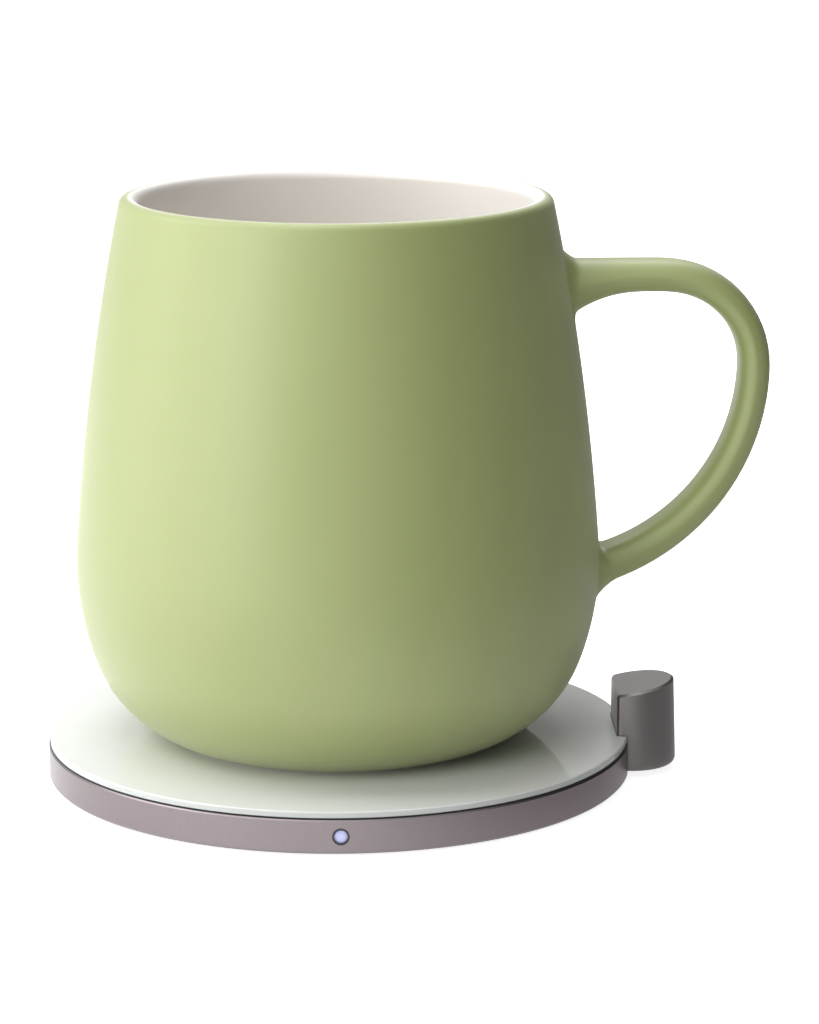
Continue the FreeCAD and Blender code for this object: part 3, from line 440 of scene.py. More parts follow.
for (low, high), margin in ROOT_MARGINS.items():
    hidden = [f for f in mug_mesh.faces if under_root(f, low, high)]
    bmesh.ops.inset_region(mug_mesh, faces=hidden, thickness=margin, use_even_offset=True)
    bmesh.ops.delete(mug_mesh, geom=hidden, context="FACES")
    print("root opened:", len(hidden), "faces")
opening = [v for v in mug_mesh.verts if v.is_boundary]
bmesh.ops.smooth_vert(mug_mesh, verts=opening, factor=CORNER_PULL, use_axis_y=True, use_axis_z=True)
print("points drawn in", len(opening))

# %% [markdown]
# Each opening and each end of the bar is a ring of sixteen edges. A bridge between two such rings
# makes sixteen faces, and subdivision turns them into the soft fillet that slip leaves there.

# %% Bridge the openings to the handle's two ends
BRIDGE_REACH = 3

mug_mesh.from_mesh(handle_data)
bpy.data.meshes.remove(handle_data)
for low, high in ROOT_MARGINS:
    middle = FOOT + (low + high) / 2
    reach = (high - low) / 2 + BRIDGE_REACH
    ends = [e for e in mug_mesh.edges if e.is_boundary]
    rims = [e for e in ends if all(abs(v.co.z - middle) < reach for v in e.verts)]
    bmesh.ops.bridge_loops(mug_mesh, edges=rims)
    print("bridged", len(rims), "edges")
print("open edges left", len([e for e in mug_mesh.edges if e.is_boundary]))


# %% [markdown]
# All the pieces end the same way: scaled to metres, normals turned outwards, shaded smooth, and
# tied to the body that carries them. Subdivision is left as a modifier, one level in the viewport
# and in the render, so that the cage stays light.

# %% Turn the mesh to metres and make it an object
def as_object(mesh, name, body):
    """Closes a bmesh that was worked out in mm and links it as a piece that rides on a body."""
    bmesh.ops.scale(mesh, vec=(MM, MM, MM), verts=mesh.verts[:])
    bmesh.ops.recalc_face_normals(mesh, faces=mesh.faces[:])
    for face in mesh.faces:
        face.smooth = True
    data = bpy.data.meshes.new(name)
    mesh.to_mesh(data)
    mesh.free()
    piece = bpy.data.objects.new(name, data)
    bpy.context.scene.collection.objects.link(piece)
    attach(piece, body)
    return piece


def subdivide(piece, levels):
    """Adds a Subdivision Surface with the same level in the viewport and in the render."""
    modifier = piece.modifiers.new("subdivision", "SUBSURF")
    modifier.levels = levels
    modifier.render_levels = levels


mug = as_object(mug_mesh, "porcelain_mug", "mug")
subdivide(mug, 1)
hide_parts("mug_body")
print("mug object", len(mug.data.polygons), "faces before subdivision")

# %% [markdown]
# The mug's glaze is satin: fired porcelain with a pale green outside and a white inside. The
# green stops on the rim, where the glaze runs thin and the white body shows. The value that the
# pen left on each point blends the two. The ring that the mug stands on is wiped bare before
# firing, or it would stick to the kiln's shelf, so it is dull and off-white. A fine grain in the
# roughness and the surface keeps the light on it soft, as the tiny crystals of a matt glaze do.
# The same crystals scatter a pale veil where the light grazes them, which is drawn as sheen.

# %% Porcelain with a satin glaze
GLAZE_GRAIN = 0.6
GLAZE_WAVE = 14.0
BARE_HEIGHT = 0.2
GLAZE_EDGE = 0.15
GLAZE_GREENS = ("#9CA66A", "#98A365")
GLAZE_WHITE = "#F5F1EB"
BARE_CLAY = "#E6DFD2"
CRYSTAL_GLAZE = {"IOR": 1.7, "Sheen Weight": 0.2, "Sheen Roughness": 0.5}


def satin_glazed_porcelain():
    material, tree, shader, place = start_material("satin_glazed_porcelain", **CRYSTAL_GLAZE)
    side = add_node(tree, "ShaderNodeAttribute", attribute_name="inside")
    pooled = add_node(tree, "ShaderNodeTexNoise", {"Vector": place, "Scale": 1 / GLAZE_WAVE, "Detail": 3.0})
    green = add_node(tree, "ShaderNodeMix", {"Factor": pooled.outputs["Fac"],
                                             "A": linear(GLAZE_GREENS[0]),
                                             "B": linear(GLAZE_GREENS[1])}, data_type="RGBA")
    both = add_node(tree, "ShaderNodeMix", {"Factor": side.outputs["Fac"], "A": green.outputs["Result"],
                                            "B": linear(GLAZE_WHITE)}, data_type="RGBA")
    height = add_node(tree, "ShaderNodeSeparateXYZ", {"Vector": place})
    bare = add_node(tree, "ShaderNodeMapRange", {"Value": height.outputs["Z"],
                                                 "From Min": FOOT + BARE_HEIGHT,
                                                 "From Max": FOOT + BARE_HEIGHT + GLAZE_EDGE,
                                                 "To Min": 1.0, "To Max": 0.0})
    footed = add_node(tree, "ShaderNodeMix", {"Factor": bare.outputs["Result"], "A": both.outputs["Result"],
                                              "B": linear(BARE_CLAY)}, data_type="RGBA")
    tree.links.new(footed.outputs["Result"], shader.inputs["Base Color"])
    grain = add_node(tree, "ShaderNodeTexNoise", {"Vector": place, "Scale": 1 / GLAZE_GRAIN, "Detail": 2.0})
    satin = add_node(tree, "ShaderNodeMapRange", {"Value": grain.outputs["Fac"], "To Min": 0.4,
                                                  "To Max": 0.52})
    rough = add_node(tree, "ShaderNodeMix", {"Factor": bare.outputs["Result"], "A": satin.outputs["Result"],
                                             "B": 0.85})
    tree.links.new(rough.outputs["Result"], shader.inputs["Roughness"])
    bump = add_node(tree, "ShaderNodeBump", {"Height": grain.outputs["Fac"], "Distance": 0.01 * MM,
                                             "Strength": 0.5})
    tree.links.new(bump.outputs["Normal"], shader.inputs["Normal"])
    return material


glaze = satin_glazed_porcelain()
mug.data.materials.append(glaze)
print("glaze on", mug.name)

# %% [markdown]
# The metal and plastic parts of the base keep the shapes that they were designed with. Their
# meshes come in as loose triangles, so a merged copy is shaded instead of the node itself: its
# triangles share corners, round walls turn smooth, and edges sharper than a limit stay crisp.


# %% A smooth copy of a part of the frame
SHARP_EDGE = math.radians(28)


def smooth_copy(node, name, body):
    """A merged copy of a node with soft walls and crisp edges, which stands in for the node."""
    mesh = bmesh.new()
    mesh.from_mesh(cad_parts[node].data)
    bmesh.ops.remove_doubles(mesh, verts=mesh.verts[:], dist=1e-6)
    for edge in mesh.edges:
        edge.smooth = len(edge.link_faces) == 2 and edge.calc_face_angle(0) < SHARP_EDGE
    bmesh.ops.scale(mesh, vec=(1 / MM, 1 / MM, 1 / MM), verts=mesh.verts[:])
    piece = as_object(mesh, name, body)
    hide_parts(node)
    return piece


rim = smooth_copy("rim_housing", "rim_ring", "base")
gasket = smooth_copy("glass_gasket", "gasket_ring", "base")
glass = smooth_copy("glass_top", "glass_plate", "base")
post = smooth_copy("post_housing", "inlet_post", "base")
bezel = smooth_copy("light_bezel", "light_ring", "base")
pad = smooth_copy("foot_pad", "foot_disc", "base")
shell = smooth_copy("power_socket", "socket_shell", "base")
print("smooth copies made")

# %% [markdown]
# In the photo the glass reaches nearly to the gasket's edge and leaves a fine dark line. The
# frame's plate stops 0.25 mm short of it, which reads as a thick line at the sides, so the corners
# on the copy's rim are moved out by 0.2 mm. The notch round the post stays where it is.

# %% Let the glass reach the gasket's edge
GLASS_GROWTH = 0.2 * MM
EDGE_BAND = 0.5 * MM
GLASS_RADIUS = -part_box("glass_top")[0].x

glass_edge = bmesh.new()
glass_edge.from_mesh(glass.data)
outer = [v for v in glass_edge.verts if v.co.to_2d().length > GLASS_RADIUS - EDGE_BAND]
growth = 1 + GLASS_GROWTH / GLASS_RADIUS
bmesh.ops.scale(glass_edge, vec=(growth, growth, 1), verts=outer)
glass_edge.to_mesh(glass.data)
glass_edge.free()
print("glass edge widened by", round(GLASS_GROWTH / MM, 2), "mm at", len(outer), "corners")

# %% [markdown]
# The light's lens is a short rod of clear plastic with a domed end. The dome is raised from the
# rod's end in four shrinking steps, each flatter than the last.

# %% The light's lens
light_low, light_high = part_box("light_pipe")
LENS_RADIUS = (light_high.x - light_low.x) / 2 / MM
LENS_MIDDLE = (light_high.z + light_low.z) / 2 / MM
LENS_FRONT = light_low.y / MM
LENS_BACK = light_high.y / MM
LENS_RISE = 0.3
DOME_STEPS = ((0.2, 0.14), (0.25, 0.09), (0.3, 0.05), (0.2, 0.02))

lens_mesh = bmesh.new()
bmesh.ops.create_cone(lens_mesh, cap_ends=True, segments=48, radius1=LENS_RADIUS, radius2=LENS_RADIUS,
                      depth=LENS_BACK - LENS_FRONT - LENS_RISE)
dome = [f for f in lens_mesh.faces if f.normal.z > 0.9]
for width, rise in DOME_STEPS:
    bmesh.ops.inset_individual(lens_mesh, faces=dome, thickness=width, depth=rise)
forward = Matrix.Rotation(math.radians(90), 3, "X")
bmesh.ops.rotate(lens_mesh, cent=(0, 0, 0), matrix=forward, verts=lens_mesh.verts[:])
middle_y = (LENS_FRONT + LENS_RISE + LENS_BACK) / 2
bmesh.ops.translate(lens_mesh, vec=(0, middle_y, LENS_MIDDLE), verts=lens_mesh.verts[:])
lens = as_object(lens_mesh, "light_lens", "base")
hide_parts("light_pipe")
print("lens dome rises", LENS_RISE, "mm")

# %% [markdown]
# The rim is turned from aluminium, blasted with fine grit and anodised to a warm grey. Grit
# leaves a surface without lines, so the reflections are wide and even. The grain here is drawn
# at 0.25 mm, coarser than real blasting grit, so that it shows at this distance.

# %% Blasted and anodised aluminium
GRIT = 0.25
RIM_COLOUR = "#7E7679"


def anodised_aluminium():
    material, tree, shader, place = start_material("anodised_aluminium", Metallic=1.0)
    grit = add_node(tree, "ShaderNodeTexNoise", {"Vector": place, "Scale": 1 / GRIT, "Detail": 2.0})
    shade = add_node(tree, "ShaderNodeMix", {"Factor": grit.outputs["Fac"], "A": linear(RIM_COLOUR, 0.88),
                                             "B": linear(RIM_COLOUR, 1.12)}, data_type="RGBA")
    tree.links.new(shade.outputs["Result"], shader.inputs["Base Color"])
    rough = add_node(tree, "ShaderNodeMapRange", {"Value": grit.outputs["Fac"], "To Min": 0.3,
                                                  "To Max": 0.42})
    tree.links.new(rough.outputs["Result"], shader.inputs["Roughness"])
    bump = add_node(tree, "ShaderNodeBump", {"Height": grit.outputs["Fac"], "Distance": 0.004 * MM,
                                             "Strength": 0.5})
    tree.links.new(bump.outputs["Normal"], shader.inputs["Normal"])
    return material


def dress(piece, material):
    """Gives a piece, or a node of the frame, this one material."""
    piece.data.materials.clear()
    piece.data.materials.append(material)


dress(rim, anodised_aluminium())
print("grit drawn at", GRIT, "mm")

# %% [markdown]
# The plate is clear float glass with white paint on its underside. Seen from above it is a
# white surface with a hard mirror gloss, strongest where the eye is low over it. Its edge has no
# paint and shows the glass itself, a little darker and greener. Wiped glass is never quite even,
# so the gloss and the white change a little, in smears about 9 mm wide.


# %% White-backed float glass
GLASS_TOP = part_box("glass_top")[1].z / MM
GLASS_BEVEL = (0.25, 0.02)
GLASS_WHITE = "#ECEDEE"
GLASS_EDGE = "#CDD1CE"
SMEAR = 9.0


def white_backed_glass():
    material, tree, shader, place = start_material("white_backed_glass", IOR=1.46)
    smear = add_node(tree, "ShaderNodeTexNoise", {"Vector": place, "Scale": 1 / SMEAR, "Detail": 3.0})
    paint = add_node(tree, "ShaderNodeMix", {"Factor": smear.outputs["Fac"], "A": linear(GLASS_WHITE, 0.97),
                                             "B": linear(GLASS_WHITE, 1.02)}, data_type="RGBA")
    height = add_node(tree, "ShaderNodeSeparateXYZ", {"Vector": place})
    on_top = add_node(tree, "ShaderNodeMapRange", {"Value": height.outputs["Z"],
                                                   "From Min": GLASS_TOP - GLASS_BEVEL[0],
                                                   "From Max": GLASS_TOP - GLASS_BEVEL[1]})
    shade = add_node(tree, "ShaderNodeMix", {"Factor": on_top.outputs["Result"], "A": linear(GLASS_EDGE),
                                             "B": paint.outputs["Result"]}, data_type="RGBA")
    tree.links.new(shade.outputs["Result"], shader.inputs["Base Color"])
    rough = add_node(tree, "ShaderNodeMapRange", {"Value": smear.outputs["Fac"], "To Min": 0.035,
                                                  "To Max": 0.065})
    tree.links.new(rough.outputs["Result"], shader.inputs["Roughness"])
    return material


dress(glass, white_backed_glass())
print("glass finished, its top at", round(GLASS_TOP, 2), "mm")

# %% [markdown]
# The gasket between rim and glass is black silicone. Only its edge shows, as a fine dark line.
# The pad under the base is silicone too. Moulded silicone is dull and takes on a faint bloom, a
# lighter haze in patches a few millimetres wide.


# %% Silicone rubber, for the gasket and the foot pad
BLOOM = 3.0
BLOOM_COLOUR = "#202022"


def silicone_rubber(name, colour):
    material, tree, shader, place = start_material(name, IOR=1.41)
    bloom = add_node(tree, "ShaderNodeTexNoise", {"Vector": place, "Scale": 1 / BLOOM, "Detail": 4.0})
    shade = add_node(tree, "ShaderNodeMix", {"Factor": bloom.outputs["Fac"], "A": linear(colour),
                                             "B": linear(BLOOM_COLOUR)}, data_type="RGBA")
    tree.links.new(shade.outputs["Result"], shader.inputs["Base Color"])
    rough = add_node(tree, "ShaderNodeMapRange", {"Value": bloom.outputs["Fac"], "To Min": 0.55,
                                                  "To Max": 0.75})
    tree.links.new(rough.outputs["Result"], shader.inputs["Roughness"])
    return material


dress(gasket, silicone_rubber("black_silicone", "#080808"))
dress(pad, silicone_rubber("grey_silicone", "#1A1A1B"))
print("gasket and foot pad finished")

# %% [markdown]
# The inlet post is moulded and painted with a fine metallic paint that matches the rim. Paint
# rounds the edges a little and lies smoother than blasted metal. Its flakes are drawn as cells of
# 0.12 mm, coarser than real ones, so that they show at all.


# %% Metallic paint on moulded plastic
FLAKE = 0.12


def metallic_paint():
    material, tree, shader, place = start_material("metallic_paint", Metallic=0.85)
    flake = add_node(tree, "ShaderNodeTexVoronoi", {"Vector": place, "Scale": 1 / FLAKE})
    shade = add_node(tree, "ShaderNodeMix", {"Factor": flake.outputs["Distance"], "A": linear("#7C7879"),
                                             "B": linear("#84807F")}, data_type="RGBA")
    tree.links.new(shade.outputs["Result"], shader.inputs["Base Color"])
    rough = add_node(tree, "ShaderNodeMapRange", {"Value": flake.outputs["Distance"], "To Min": 0.3,
                                                  "To Max": 0.4})
    tree.links.new(rough.outputs["Result"], shader.inputs["Roughness"])
    return material


dress(post, metallic_paint())
print("post painted")

# %% [markdown]
# The lens is polished acrylic. It glows with a cool white, brightest in the middle, where the
# light behind it stands. Acrylic that guides light is never quite clear, so its colour has a haze.


# %% Glowing acrylic lens
LENS_COLOUR = "#8E90B0"
LENS_GLOW = 0.6
GLOW_CENTRE = (0.15, LENS_FRONT, LENS_MIDDLE + 0.1)


def glowing_acrylic():
    material, tree, shader, place = start_material("glowing_acrylic", IOR=1.49, Roughness=0.08)
    haze = add_node(tree, "ShaderNodeTexNoise", {"Vector": place, "Scale": 2.0})
    clear = add_node(tree, "ShaderNodeMix", {"Factor": haze.outputs["Fac"], "A": linear(LENS_COLOUR, 0.9),
                                             "B": linear(LENS_COLOUR, 1.1)}, data_type="RGBA")
    tree.links.new(clear.outputs["Result"], shader.inputs["Base Color"])
    centre = add_node(tree, "ShaderNodeVectorMath", {0: place, 1: GLOW_CENTRE}, operation="DISTANCE")
    core = add_node(tree, "ShaderNodeMapRange", {"Value": centre.outputs["Value"], "From Min": 0.2,
                                                 "From Max": LENS_RADIUS, "To Min": 1.0, "To Max": 0.0})
    colour = add_node(tree, "ShaderNodeMix", {"Factor": core.outputs["Result"], "A": linear("#A9A9D6"),
                                              "B": linear("#C9D0F4")}, data_type="RGBA")
    tree.links.new(colour.outputs["Result"], shader.inputs["Emission Color"])
    shader.inputs["Emission Strength"].default_value = LENS_GLOW
    return material


dress(lens, glowing_acrylic())
print("lens finished")

# %% [markdown]
# The ring round the lens is acetal, moulded in a spark-eroded mould. The mould leaves a fine
# grain, which breaks up the gloss and changes the colour a little from spot to spot. It is drawn
# at half a millimetre, coarser than the mould's, so that it shows. The plastic parts inside come
# from the same recipe, with other colours and grains.


# %% Moulded plastic
def moulded_plastic(name, colour, roughness=0.5, grain=0.5):
    """Plain moulded plastic with the fine grain of its mould."""
    material, tree, shader, place = start_material(name, IOR=1.5)
    texture = add_node(tree, "ShaderNodeTexNoise", {"Vector": place, "Scale": 1 / grain, "Detail": 2.0})
    rough = add_node(tree, "ShaderNodeMapRange", {"Value": texture.outputs["Fac"], "To Min": roughness - 0.07,
                                                  "To Max": roughness + 0.07})
    tree.links.new(rough.outputs["Result"], shader.inputs["Roughness"])
    shade = add_node(tree, "ShaderNodeMix", {"Factor": texture.outputs["Fac"], "A": linear(colour, 0.85),
                                             "B": linear(colour, 1.15)}, data_type="RGBA")
    tree.links.new(shade.outputs["Result"], shader.inputs["Base Color"])
    bump = add_node(tree, "ShaderNodeBump", {"Height": texture.outputs["Fac"], "Distance": 0.01 * MM,
                                             "Strength": 0.4})
    tree.links.new(bump.outputs["Normal"], shader.inputs["Normal"])
    return material


dress(bezel, moulded_plastic("black_acetal", "#101018", 0.3))
print("light ring finished")

# %% [markdown]
# The parts inside the base never show in the closed product, but they are there when it is
# opened, so each gets the finish that it really has. The metals are first: rolled sheet, nickel,
# zinc and the silver layer that is fired on the mug's foot. Plating and rolling leave faint
# patches, brighter here and duller there, so colour and roughness share one noise.


# %% Metals inside
def plain_metal(name, colour, roughness, grain=0.4):
    """Plated or rolled metal with faint patches."""
    material, tree, shader, place = start_material(name, Metallic=1.0)
    texture = add_node(tree, "ShaderNodeTexNoise", {"Vector": place, "Scale": 1 / grain, "Detail": 3.0})
    shade = add_node(tree, "ShaderNodeMix", {"Factor": texture.outputs["Fac"], "A": linear(colour, 0.88),
                                             "B": linear(colour, 1.05)}, data_type="RGBA")
    tree.links.new(shade.outputs["Result"], shader.inputs["Base Color"])
    rough = add_node(tree, "ShaderNodeMapRange", {"Value": texture.outputs["Fac"], "To Min": roughness - 0.06,
                                                  "To Max": roughness + 0.08})
    tree.links.new(rough.outputs["Result"], shader.inputs["Roughness"])
    return material


nickel = plain_metal("nickel_plated_steel", "#B5B1A8", 0.25)
dress(shell, nickel)
print("socket shell plated with", nickel.name)

# %% [markdown]
# The coil is enamelled copper wire in one flat layer. Its turns are too fine to model one by
# one, so a sine over the distance from the axis paints one light and one dark ring for each turn:
# a painted highlight on each turn's crest and painted shade in the groove between turns. The same
# wave lifts the surface.

# %% Copper winding
TURN_PITCH = 0.9


def copper_winding():
    material, tree, shader, place = start_material("varnished_copper", Metallic=1.0)
    flat = add_node(tree, "ShaderNodeVectorMath", {0: place, 1: (1, 1, 0)}, operation="MULTIPLY")
    radius = add_node(tree, "ShaderNodeVectorMath", {0: flat.outputs["Vector"]}, operation="LENGTH")
    turns = add_node(tree, "ShaderNodeMath", {0: radius.outputs["Value"], 1: math.tau / TURN_PITCH},
                     operation="MULTIPLY")
    wave = add_node(tree, "ShaderNodeMath", {0: turns.outputs["Value"]}, operation="SINE")
    share = add_node(tree, "ShaderNodeMapRange", {"Value": wave.outputs["Value"], "From Min": -1.0})
    # Painted light: the dark copper is painted shade in the grooves, the light copper a painted highlight on
    # the crests.
    colour = add_node(tree, "ShaderNodeMix", {"Factor": share.outputs["Result"], "A": linear("#5E2E18"),
                                              "B": linear("#D08A5A")}, data_type="RGBA")
    tree.links.new(colour.outputs["Result"], shader.inputs["Base Color"])
    bump = add_node(tree, "ShaderNodeBump", {"Height": share.outputs["Result"], "Distance": 0.2 * MM})
    tree.links.new(bump.outputs["Normal"], shader.inputs["Normal"])
    shader.inputs["Roughness"].default_value = 0.3
    return material


copper = copper_winding()
print("one turn each", TURN_PITCH, "mm")

# %% [markdown]
# Parts of the same stuff share one material: the screws are zinc-plated, the packages are black
# epoxy, the tray and the covers are nylon filled with glass. The nodes keep their own meshes,
# and their materials come from the three recipes above.

# %% Give every part inside its finish
packages = moulded_plastic("black_epoxy", "#161617", 0.6)
board = moulded_plastic("solder_mask", "#12502C", 0.3, 1.2)
zinc = plain_metal("zinc_plated_steel", "#B9BCC0", 0.35)
housing = moulded_plastic("black_glass_filled_nylon", "#1C1C1D", 0.55)
ferrite = moulded_plastic("sintered_ferrite", "#2B2B2E", 0.7, 0.3)
FINISHES = {
    "heat_shield": plain_metal("rolled_aluminium", "#C9CACB", 0.25),
    "base_plate": housing,
    "base_screws": zinc,
    "board_screws": zinc,
    "post_screws": zinc,
    "coil_bracket": housing,
    "ferrite_disc": ferrite,
    "transmit_coil": copper,
    "coil_leads": copper,
    "sensor_seat": silicone_rubber("red_silicone", "#7A2018"),
    "temperature_sensor": packages,
    "main_board": board,
    "socket_board": board,
    "power_inductor": ferrite,
    "filter_capacitors": moulded_plastic("tan_ceramic", "#A58458", 0.4),
    "driver_transistors": packages,
    "control_chip": packages,
    "wire_header": moulded_plastic("natural_nylon", "#DAD5C6", 0.45),
    "status_led": moulded_plastic("clear_silicone", "#E9E6C9", 0.3),
    "post_cap": housing,
    "socket_tongue": moulded_plastic("black_liquid_crystal_polymer", "#131314", 0.5),
    "link_ribbon": moulded_plastic("grey_cable_jacket", "#B9B9B4", 0.45),
    "heating_disc": plain_metal("fired_silver_layer", "#B3B3B2", 0.4),
}
for node, material in FINISHES.items():
    dress(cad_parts[node], material)
print("finished nodes", len(FINISHES))

# %% [markdown]
# The set is a white table that runs out of sight. Its white comes from its own material, and
# only for the camera, for mirror-like surfaces and for clear ones, so it puts no extra light on
# the object. Near the object it glows a little less, so that the object's shadow can show. Seen
# from below it is clear, so the underside can be looked at.

# %% The floor
GLOW_NEAR = 0.86
GLOW_FAR = 1.0
GLOW_REACH = (60.0, 300.0)
FLOOR_REACH = 4.0
FLOOR_HEIGHT = -0.0002


def white_table():
    material = bpy.data.materials.new("white_table")
    material.use_nodes = True
    tree = material.node_tree
    tree.nodes.clear()
    path = add_node(tree, "ShaderNodeLightPath")
    seen = add_node(tree, "ShaderNodeMath", {0: path.outputs["Is Camera Ray"],
                                             1: path.outputs["Is Glossy Ray"]}, operation="MAXIMUM")
    shown = add_node(tree, "ShaderNodeMath", {0: seen.outputs["Value"],
                                              1: path.outputs["Is Transmission Ray"]}, operation="MAXIMUM")
    place = add_node(tree, "ShaderNodeTexCoord")
    reach = add_node(tree, "ShaderNodeVectorMath", {0: place.outputs["Object"]}, operation="LENGTH")
    level = add_node(tree, "ShaderNodeMapRange", {"Value": reach.outputs["Value"],
                                                  "From Min": GLOW_REACH[0] * MM,
                                                  "From Max": GLOW_REACH[1] * MM,
                                                  "To Min": GLOW_NEAR, "To Max": GLOW_FAR})
    strength = add_node(tree, "ShaderNodeMath", {0: shown.outputs["Value"], 1: level.outputs["Result"]},
                        operation="MULTIPLY")
    glow = add_node(tree, "ShaderNodeEmission", {"Color": (1, 1, 1, 1),
                                                 "Strength": strength.outputs["Value"]})
    cloth = add_node(tree, "ShaderNodeBsdfDiffuse", {"Color": linear("#F0F0F0")})
    lit = add_node(tree, "ShaderNodeAddShader", {0: glow.outputs["Emission"], 1: cloth.outputs["BSDF"]})
    clear = add_node(tree, "ShaderNodeBsdfTransparent")
    side = add_node(tree, "ShaderNodeNewGeometry")
    both = add_node(tree, "ShaderNodeMixShader", {0: side.outputs["Backfacing"], 1: lit.outputs["Shader"],
                                                  2: clear.outputs["BSDF"]})
    add_node(tree, "ShaderNodeOutputMaterial", {"Surface": both.outputs["Shader"]})
    return material


floor_mesh = bmesh.new()
bmesh.ops.create_grid(floor_mesh, x_segments=1, y_segments=1, size=FLOOR_REACH)
floor_data = bpy.data.meshes.new("table")
floor_mesh.to_mesh(floor_data)
floor_mesh.free()
table = bpy.data.objects.new("table", floor_data)
table.location.z = FLOOR_HEIGHT
bpy.context.scene.collection.objects.link(table)
dress(table, white_table())
table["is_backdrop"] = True
print("table reaches", FLOOR_REACH, "m")

# %% [markdown]
# The light comes from the left, as from a large window. A broad lamp in front on the left gives
# the mug its bright side and the long fade to the right, and one beside it the whitish gloss near
# the left edge. A high one on the left reaches over the lip and lights the inside of the mug. One
# above the camera, one overhead and one behind light the glass and the lip. Nothing lights the
# right side but what the table gives back.


# %% Lamps
MIDDLE = Vector((0.0, 0.0, 0.05))
LAMP_REACH = 0.8


def soft_lamp(name, place, width, height, power):
    """A rectangular lamp, sizes in metres and power in watts, turned to the object's middle."""
    data = bpy.data.lights.new(name, "AREA")
    data.shape = "RECTANGLE"
    data.size = width
    data.size_y = height
    data.energy = power
    lamp = bpy.data.objects.new(name, data)
    lamp.location = place
    lamp.rotation_mode = "QUATERNION"
    lamp.rotation_quaternion = (MIDDLE - place).to_track_quat("-Z", "Y")
    bpy.context.scene.collection.objects.link(lamp)


def lamp_place(turn, rise):
    """A place so many degrees to the left of the camera's side and so many above the table."""
    turn, rise = math.radians(turn), math.radians(rise)
    flat = Vector((-math.sin(turn), -math.cos(turn), 0)) * math.cos(rise)
    return MIDDLE + (flat + Vector((0, 0, math.sin(rise)))) * LAMP_REACH


soft_lamp("key_lamp", lamp_place(48, 10), 0.5, 0.6, 2.95)
soft_lamp("side_lamp", lamp_place(88, 4), 0.45, 0.5, 1.75)
soft_lamp("high_lamp", lamp_place(95, 42), 0.45, 0.5, 2.8)
soft_lamp("front_lamp", lamp_place(24, 42), 0.5, 0.5, 1.7)
soft_lamp("overhead_lamp", lamp_place(90, 80), 0.4, 0.4, 2.45)
soft_lamp("back_lamp", lamp_place(180, 45), 0.5, 0.5, 1.9)
print("lamps", len(bpy.data.lights))

# %% [markdown]
# The world is white for the camera and in reflections, as a studio's walls are, and a weak grey
# for everything else, so that it fills the shadows without flattening the forms.

# %% The world: white to the eye, dim as a light
WORLD_LIGHT = 0.12
world = bpy.data.worlds.new("studio")
bpy.context.scene.world = world
world.use_nodes = True
tree = world.node_tree
tree.nodes.clear()
path = add_node(tree, "ShaderNodeLightPath")
seen = add_node(tree, "ShaderNodeMath", {0: path.outputs["Is Camera Ray"],
                                         1: path.outputs["Is Glossy Ray"]}, operation="MAXIMUM")
shown = add_node(tree, "ShaderNodeMath", {0: seen.outputs["Value"], 1: path.outputs["Is Transmission Ray"]},
                 operation="MAXIMUM")
level = add_node(tree, "ShaderNodeMapRange", {"Value": shown.outputs["Value"], "To Min": WORLD_LIGHT,
                                              "To Max": 1.0})
sky = add_node(tree, "ShaderNodeBackground", {"Color": (1, 1, 1, 1), "Strength": level.outputs["Result"]})
add_node(tree, "ShaderNodeOutputWorld", {"Surface": sky.outputs["Background"]})
print("world light", WORLD_LIGHT)

# %% [markdown]
# Metal and glass show what stands round them. A photographer puts cards beside them to give them
# a dark end. These cards are seen by reflections alone: a dark one to the right, two grey ones
# behind and a grey one on the table that fades in from the middle to the right, so it leaves no
# edge.

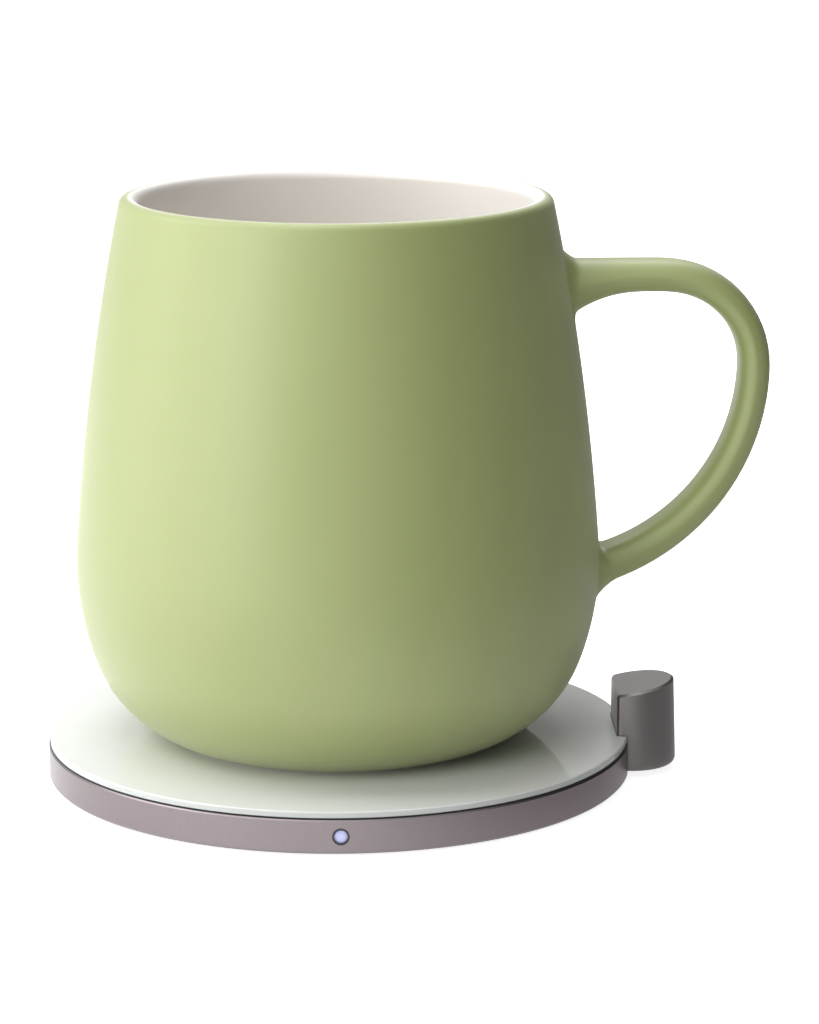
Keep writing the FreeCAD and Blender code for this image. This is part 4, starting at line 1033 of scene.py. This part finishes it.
# %% Cards that only reflections see
def felt(name, shade, start, fade):
    """A plain grey that is clear left of a start and fades in along X."""
    material = bpy.data.materials.new(name)
    material.use_nodes = True
    tree = material.node_tree
    tree.nodes.clear()
    place = add_node(tree, "ShaderNodeTexCoord")
    across = add_node(tree, "ShaderNodeSeparateXYZ", {"Vector": place.outputs["Object"]})
    cover = add_node(tree, "ShaderNodeMapRange", {"Value": across.outputs["X"], "From Min": start - MM,
                                                  "From Max": start + fade})
    clear = add_node(tree, "ShaderNodeBsdfTransparent")
    grey = add_node(tree, "ShaderNodeEmission", {"Color": linear(shade)})
    both = add_node(tree, "ShaderNodeMixShader", {0: cover.outputs["Result"], 1: clear.outputs["BSDF"],
                                                  2: grey.outputs["Emission"]})
    add_node(tree, "ShaderNodeOutputMaterial", {"Surface": both.outputs["Shader"]})
    return material


def reflector(name, corner_a, corner_b, shade, fade):
    """A flat card between two opposite corners, seen by reflections alone."""
    low, high = Vector(corner_a), Vector(corner_b)
    mesh = bmesh.new()
    bmesh.ops.create_grid(mesh, x_segments=1, y_segments=1, size=0.5)
    for flat_axis, hinge in (("x", "Y"), ("y", "X")):
        if getattr(low, flat_axis) == getattr(high, flat_axis):
            upright = Matrix.Rotation(math.pi / 2, 3, hinge)
            bmesh.ops.rotate(mesh, cent=(0, 0, 0), matrix=upright, verts=mesh.verts[:])
    bmesh.ops.scale(mesh, vec=[side if side else 1.0 for side in high - low], verts=mesh.verts[:])
    bmesh.ops.translate(mesh, vec=(low + high) / 2, verts=mesh.verts[:])
    data = bpy.data.meshes.new(name)
    mesh.to_mesh(data)
    mesh.free()
    card = bpy.data.objects.new(name, data)
    bpy.context.scene.collection.objects.link(card)
    dress(card, felt(name + "_felt", shade, low.x, fade))
    card.visible_camera = False
    card.visible_diffuse = False
    card.visible_shadow = False
    card.visible_transmission = False
    card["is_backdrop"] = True


reflector("side_card", (0.25, -0.5, 0.0), (0.25, 0.5, 0.35), "#3A3838", 0.0)
reflector("back_card", (0.02, 0.5, 0.0), (0.25, 0.5, 0.35), "#B8B8B8", 0.03)
reflector("left_back_card", (-0.3, 0.51, 0.0), (0.05, 0.51, 0.35), "#D0D0D0", 0.0)
reflector("floor_card", (0.0, -0.5, 0.0), (0.25, 0.5, 0.0), "#B4B0B1", 0.07)

# %% [markdown]
# The finished model's outer box is printed beside the frame's, axis by axis.

# %% Write the sizes and finish
VISUAL_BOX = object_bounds()
for axis, low, high, cad_low, cad_high in zip("XYZ", *VISUAL_BOX, *CAD_BOX):
    print(axis, "visual", round(low, 4), round(high, 4), "frame", round(cad_low, 4), round(cad_high, 4))
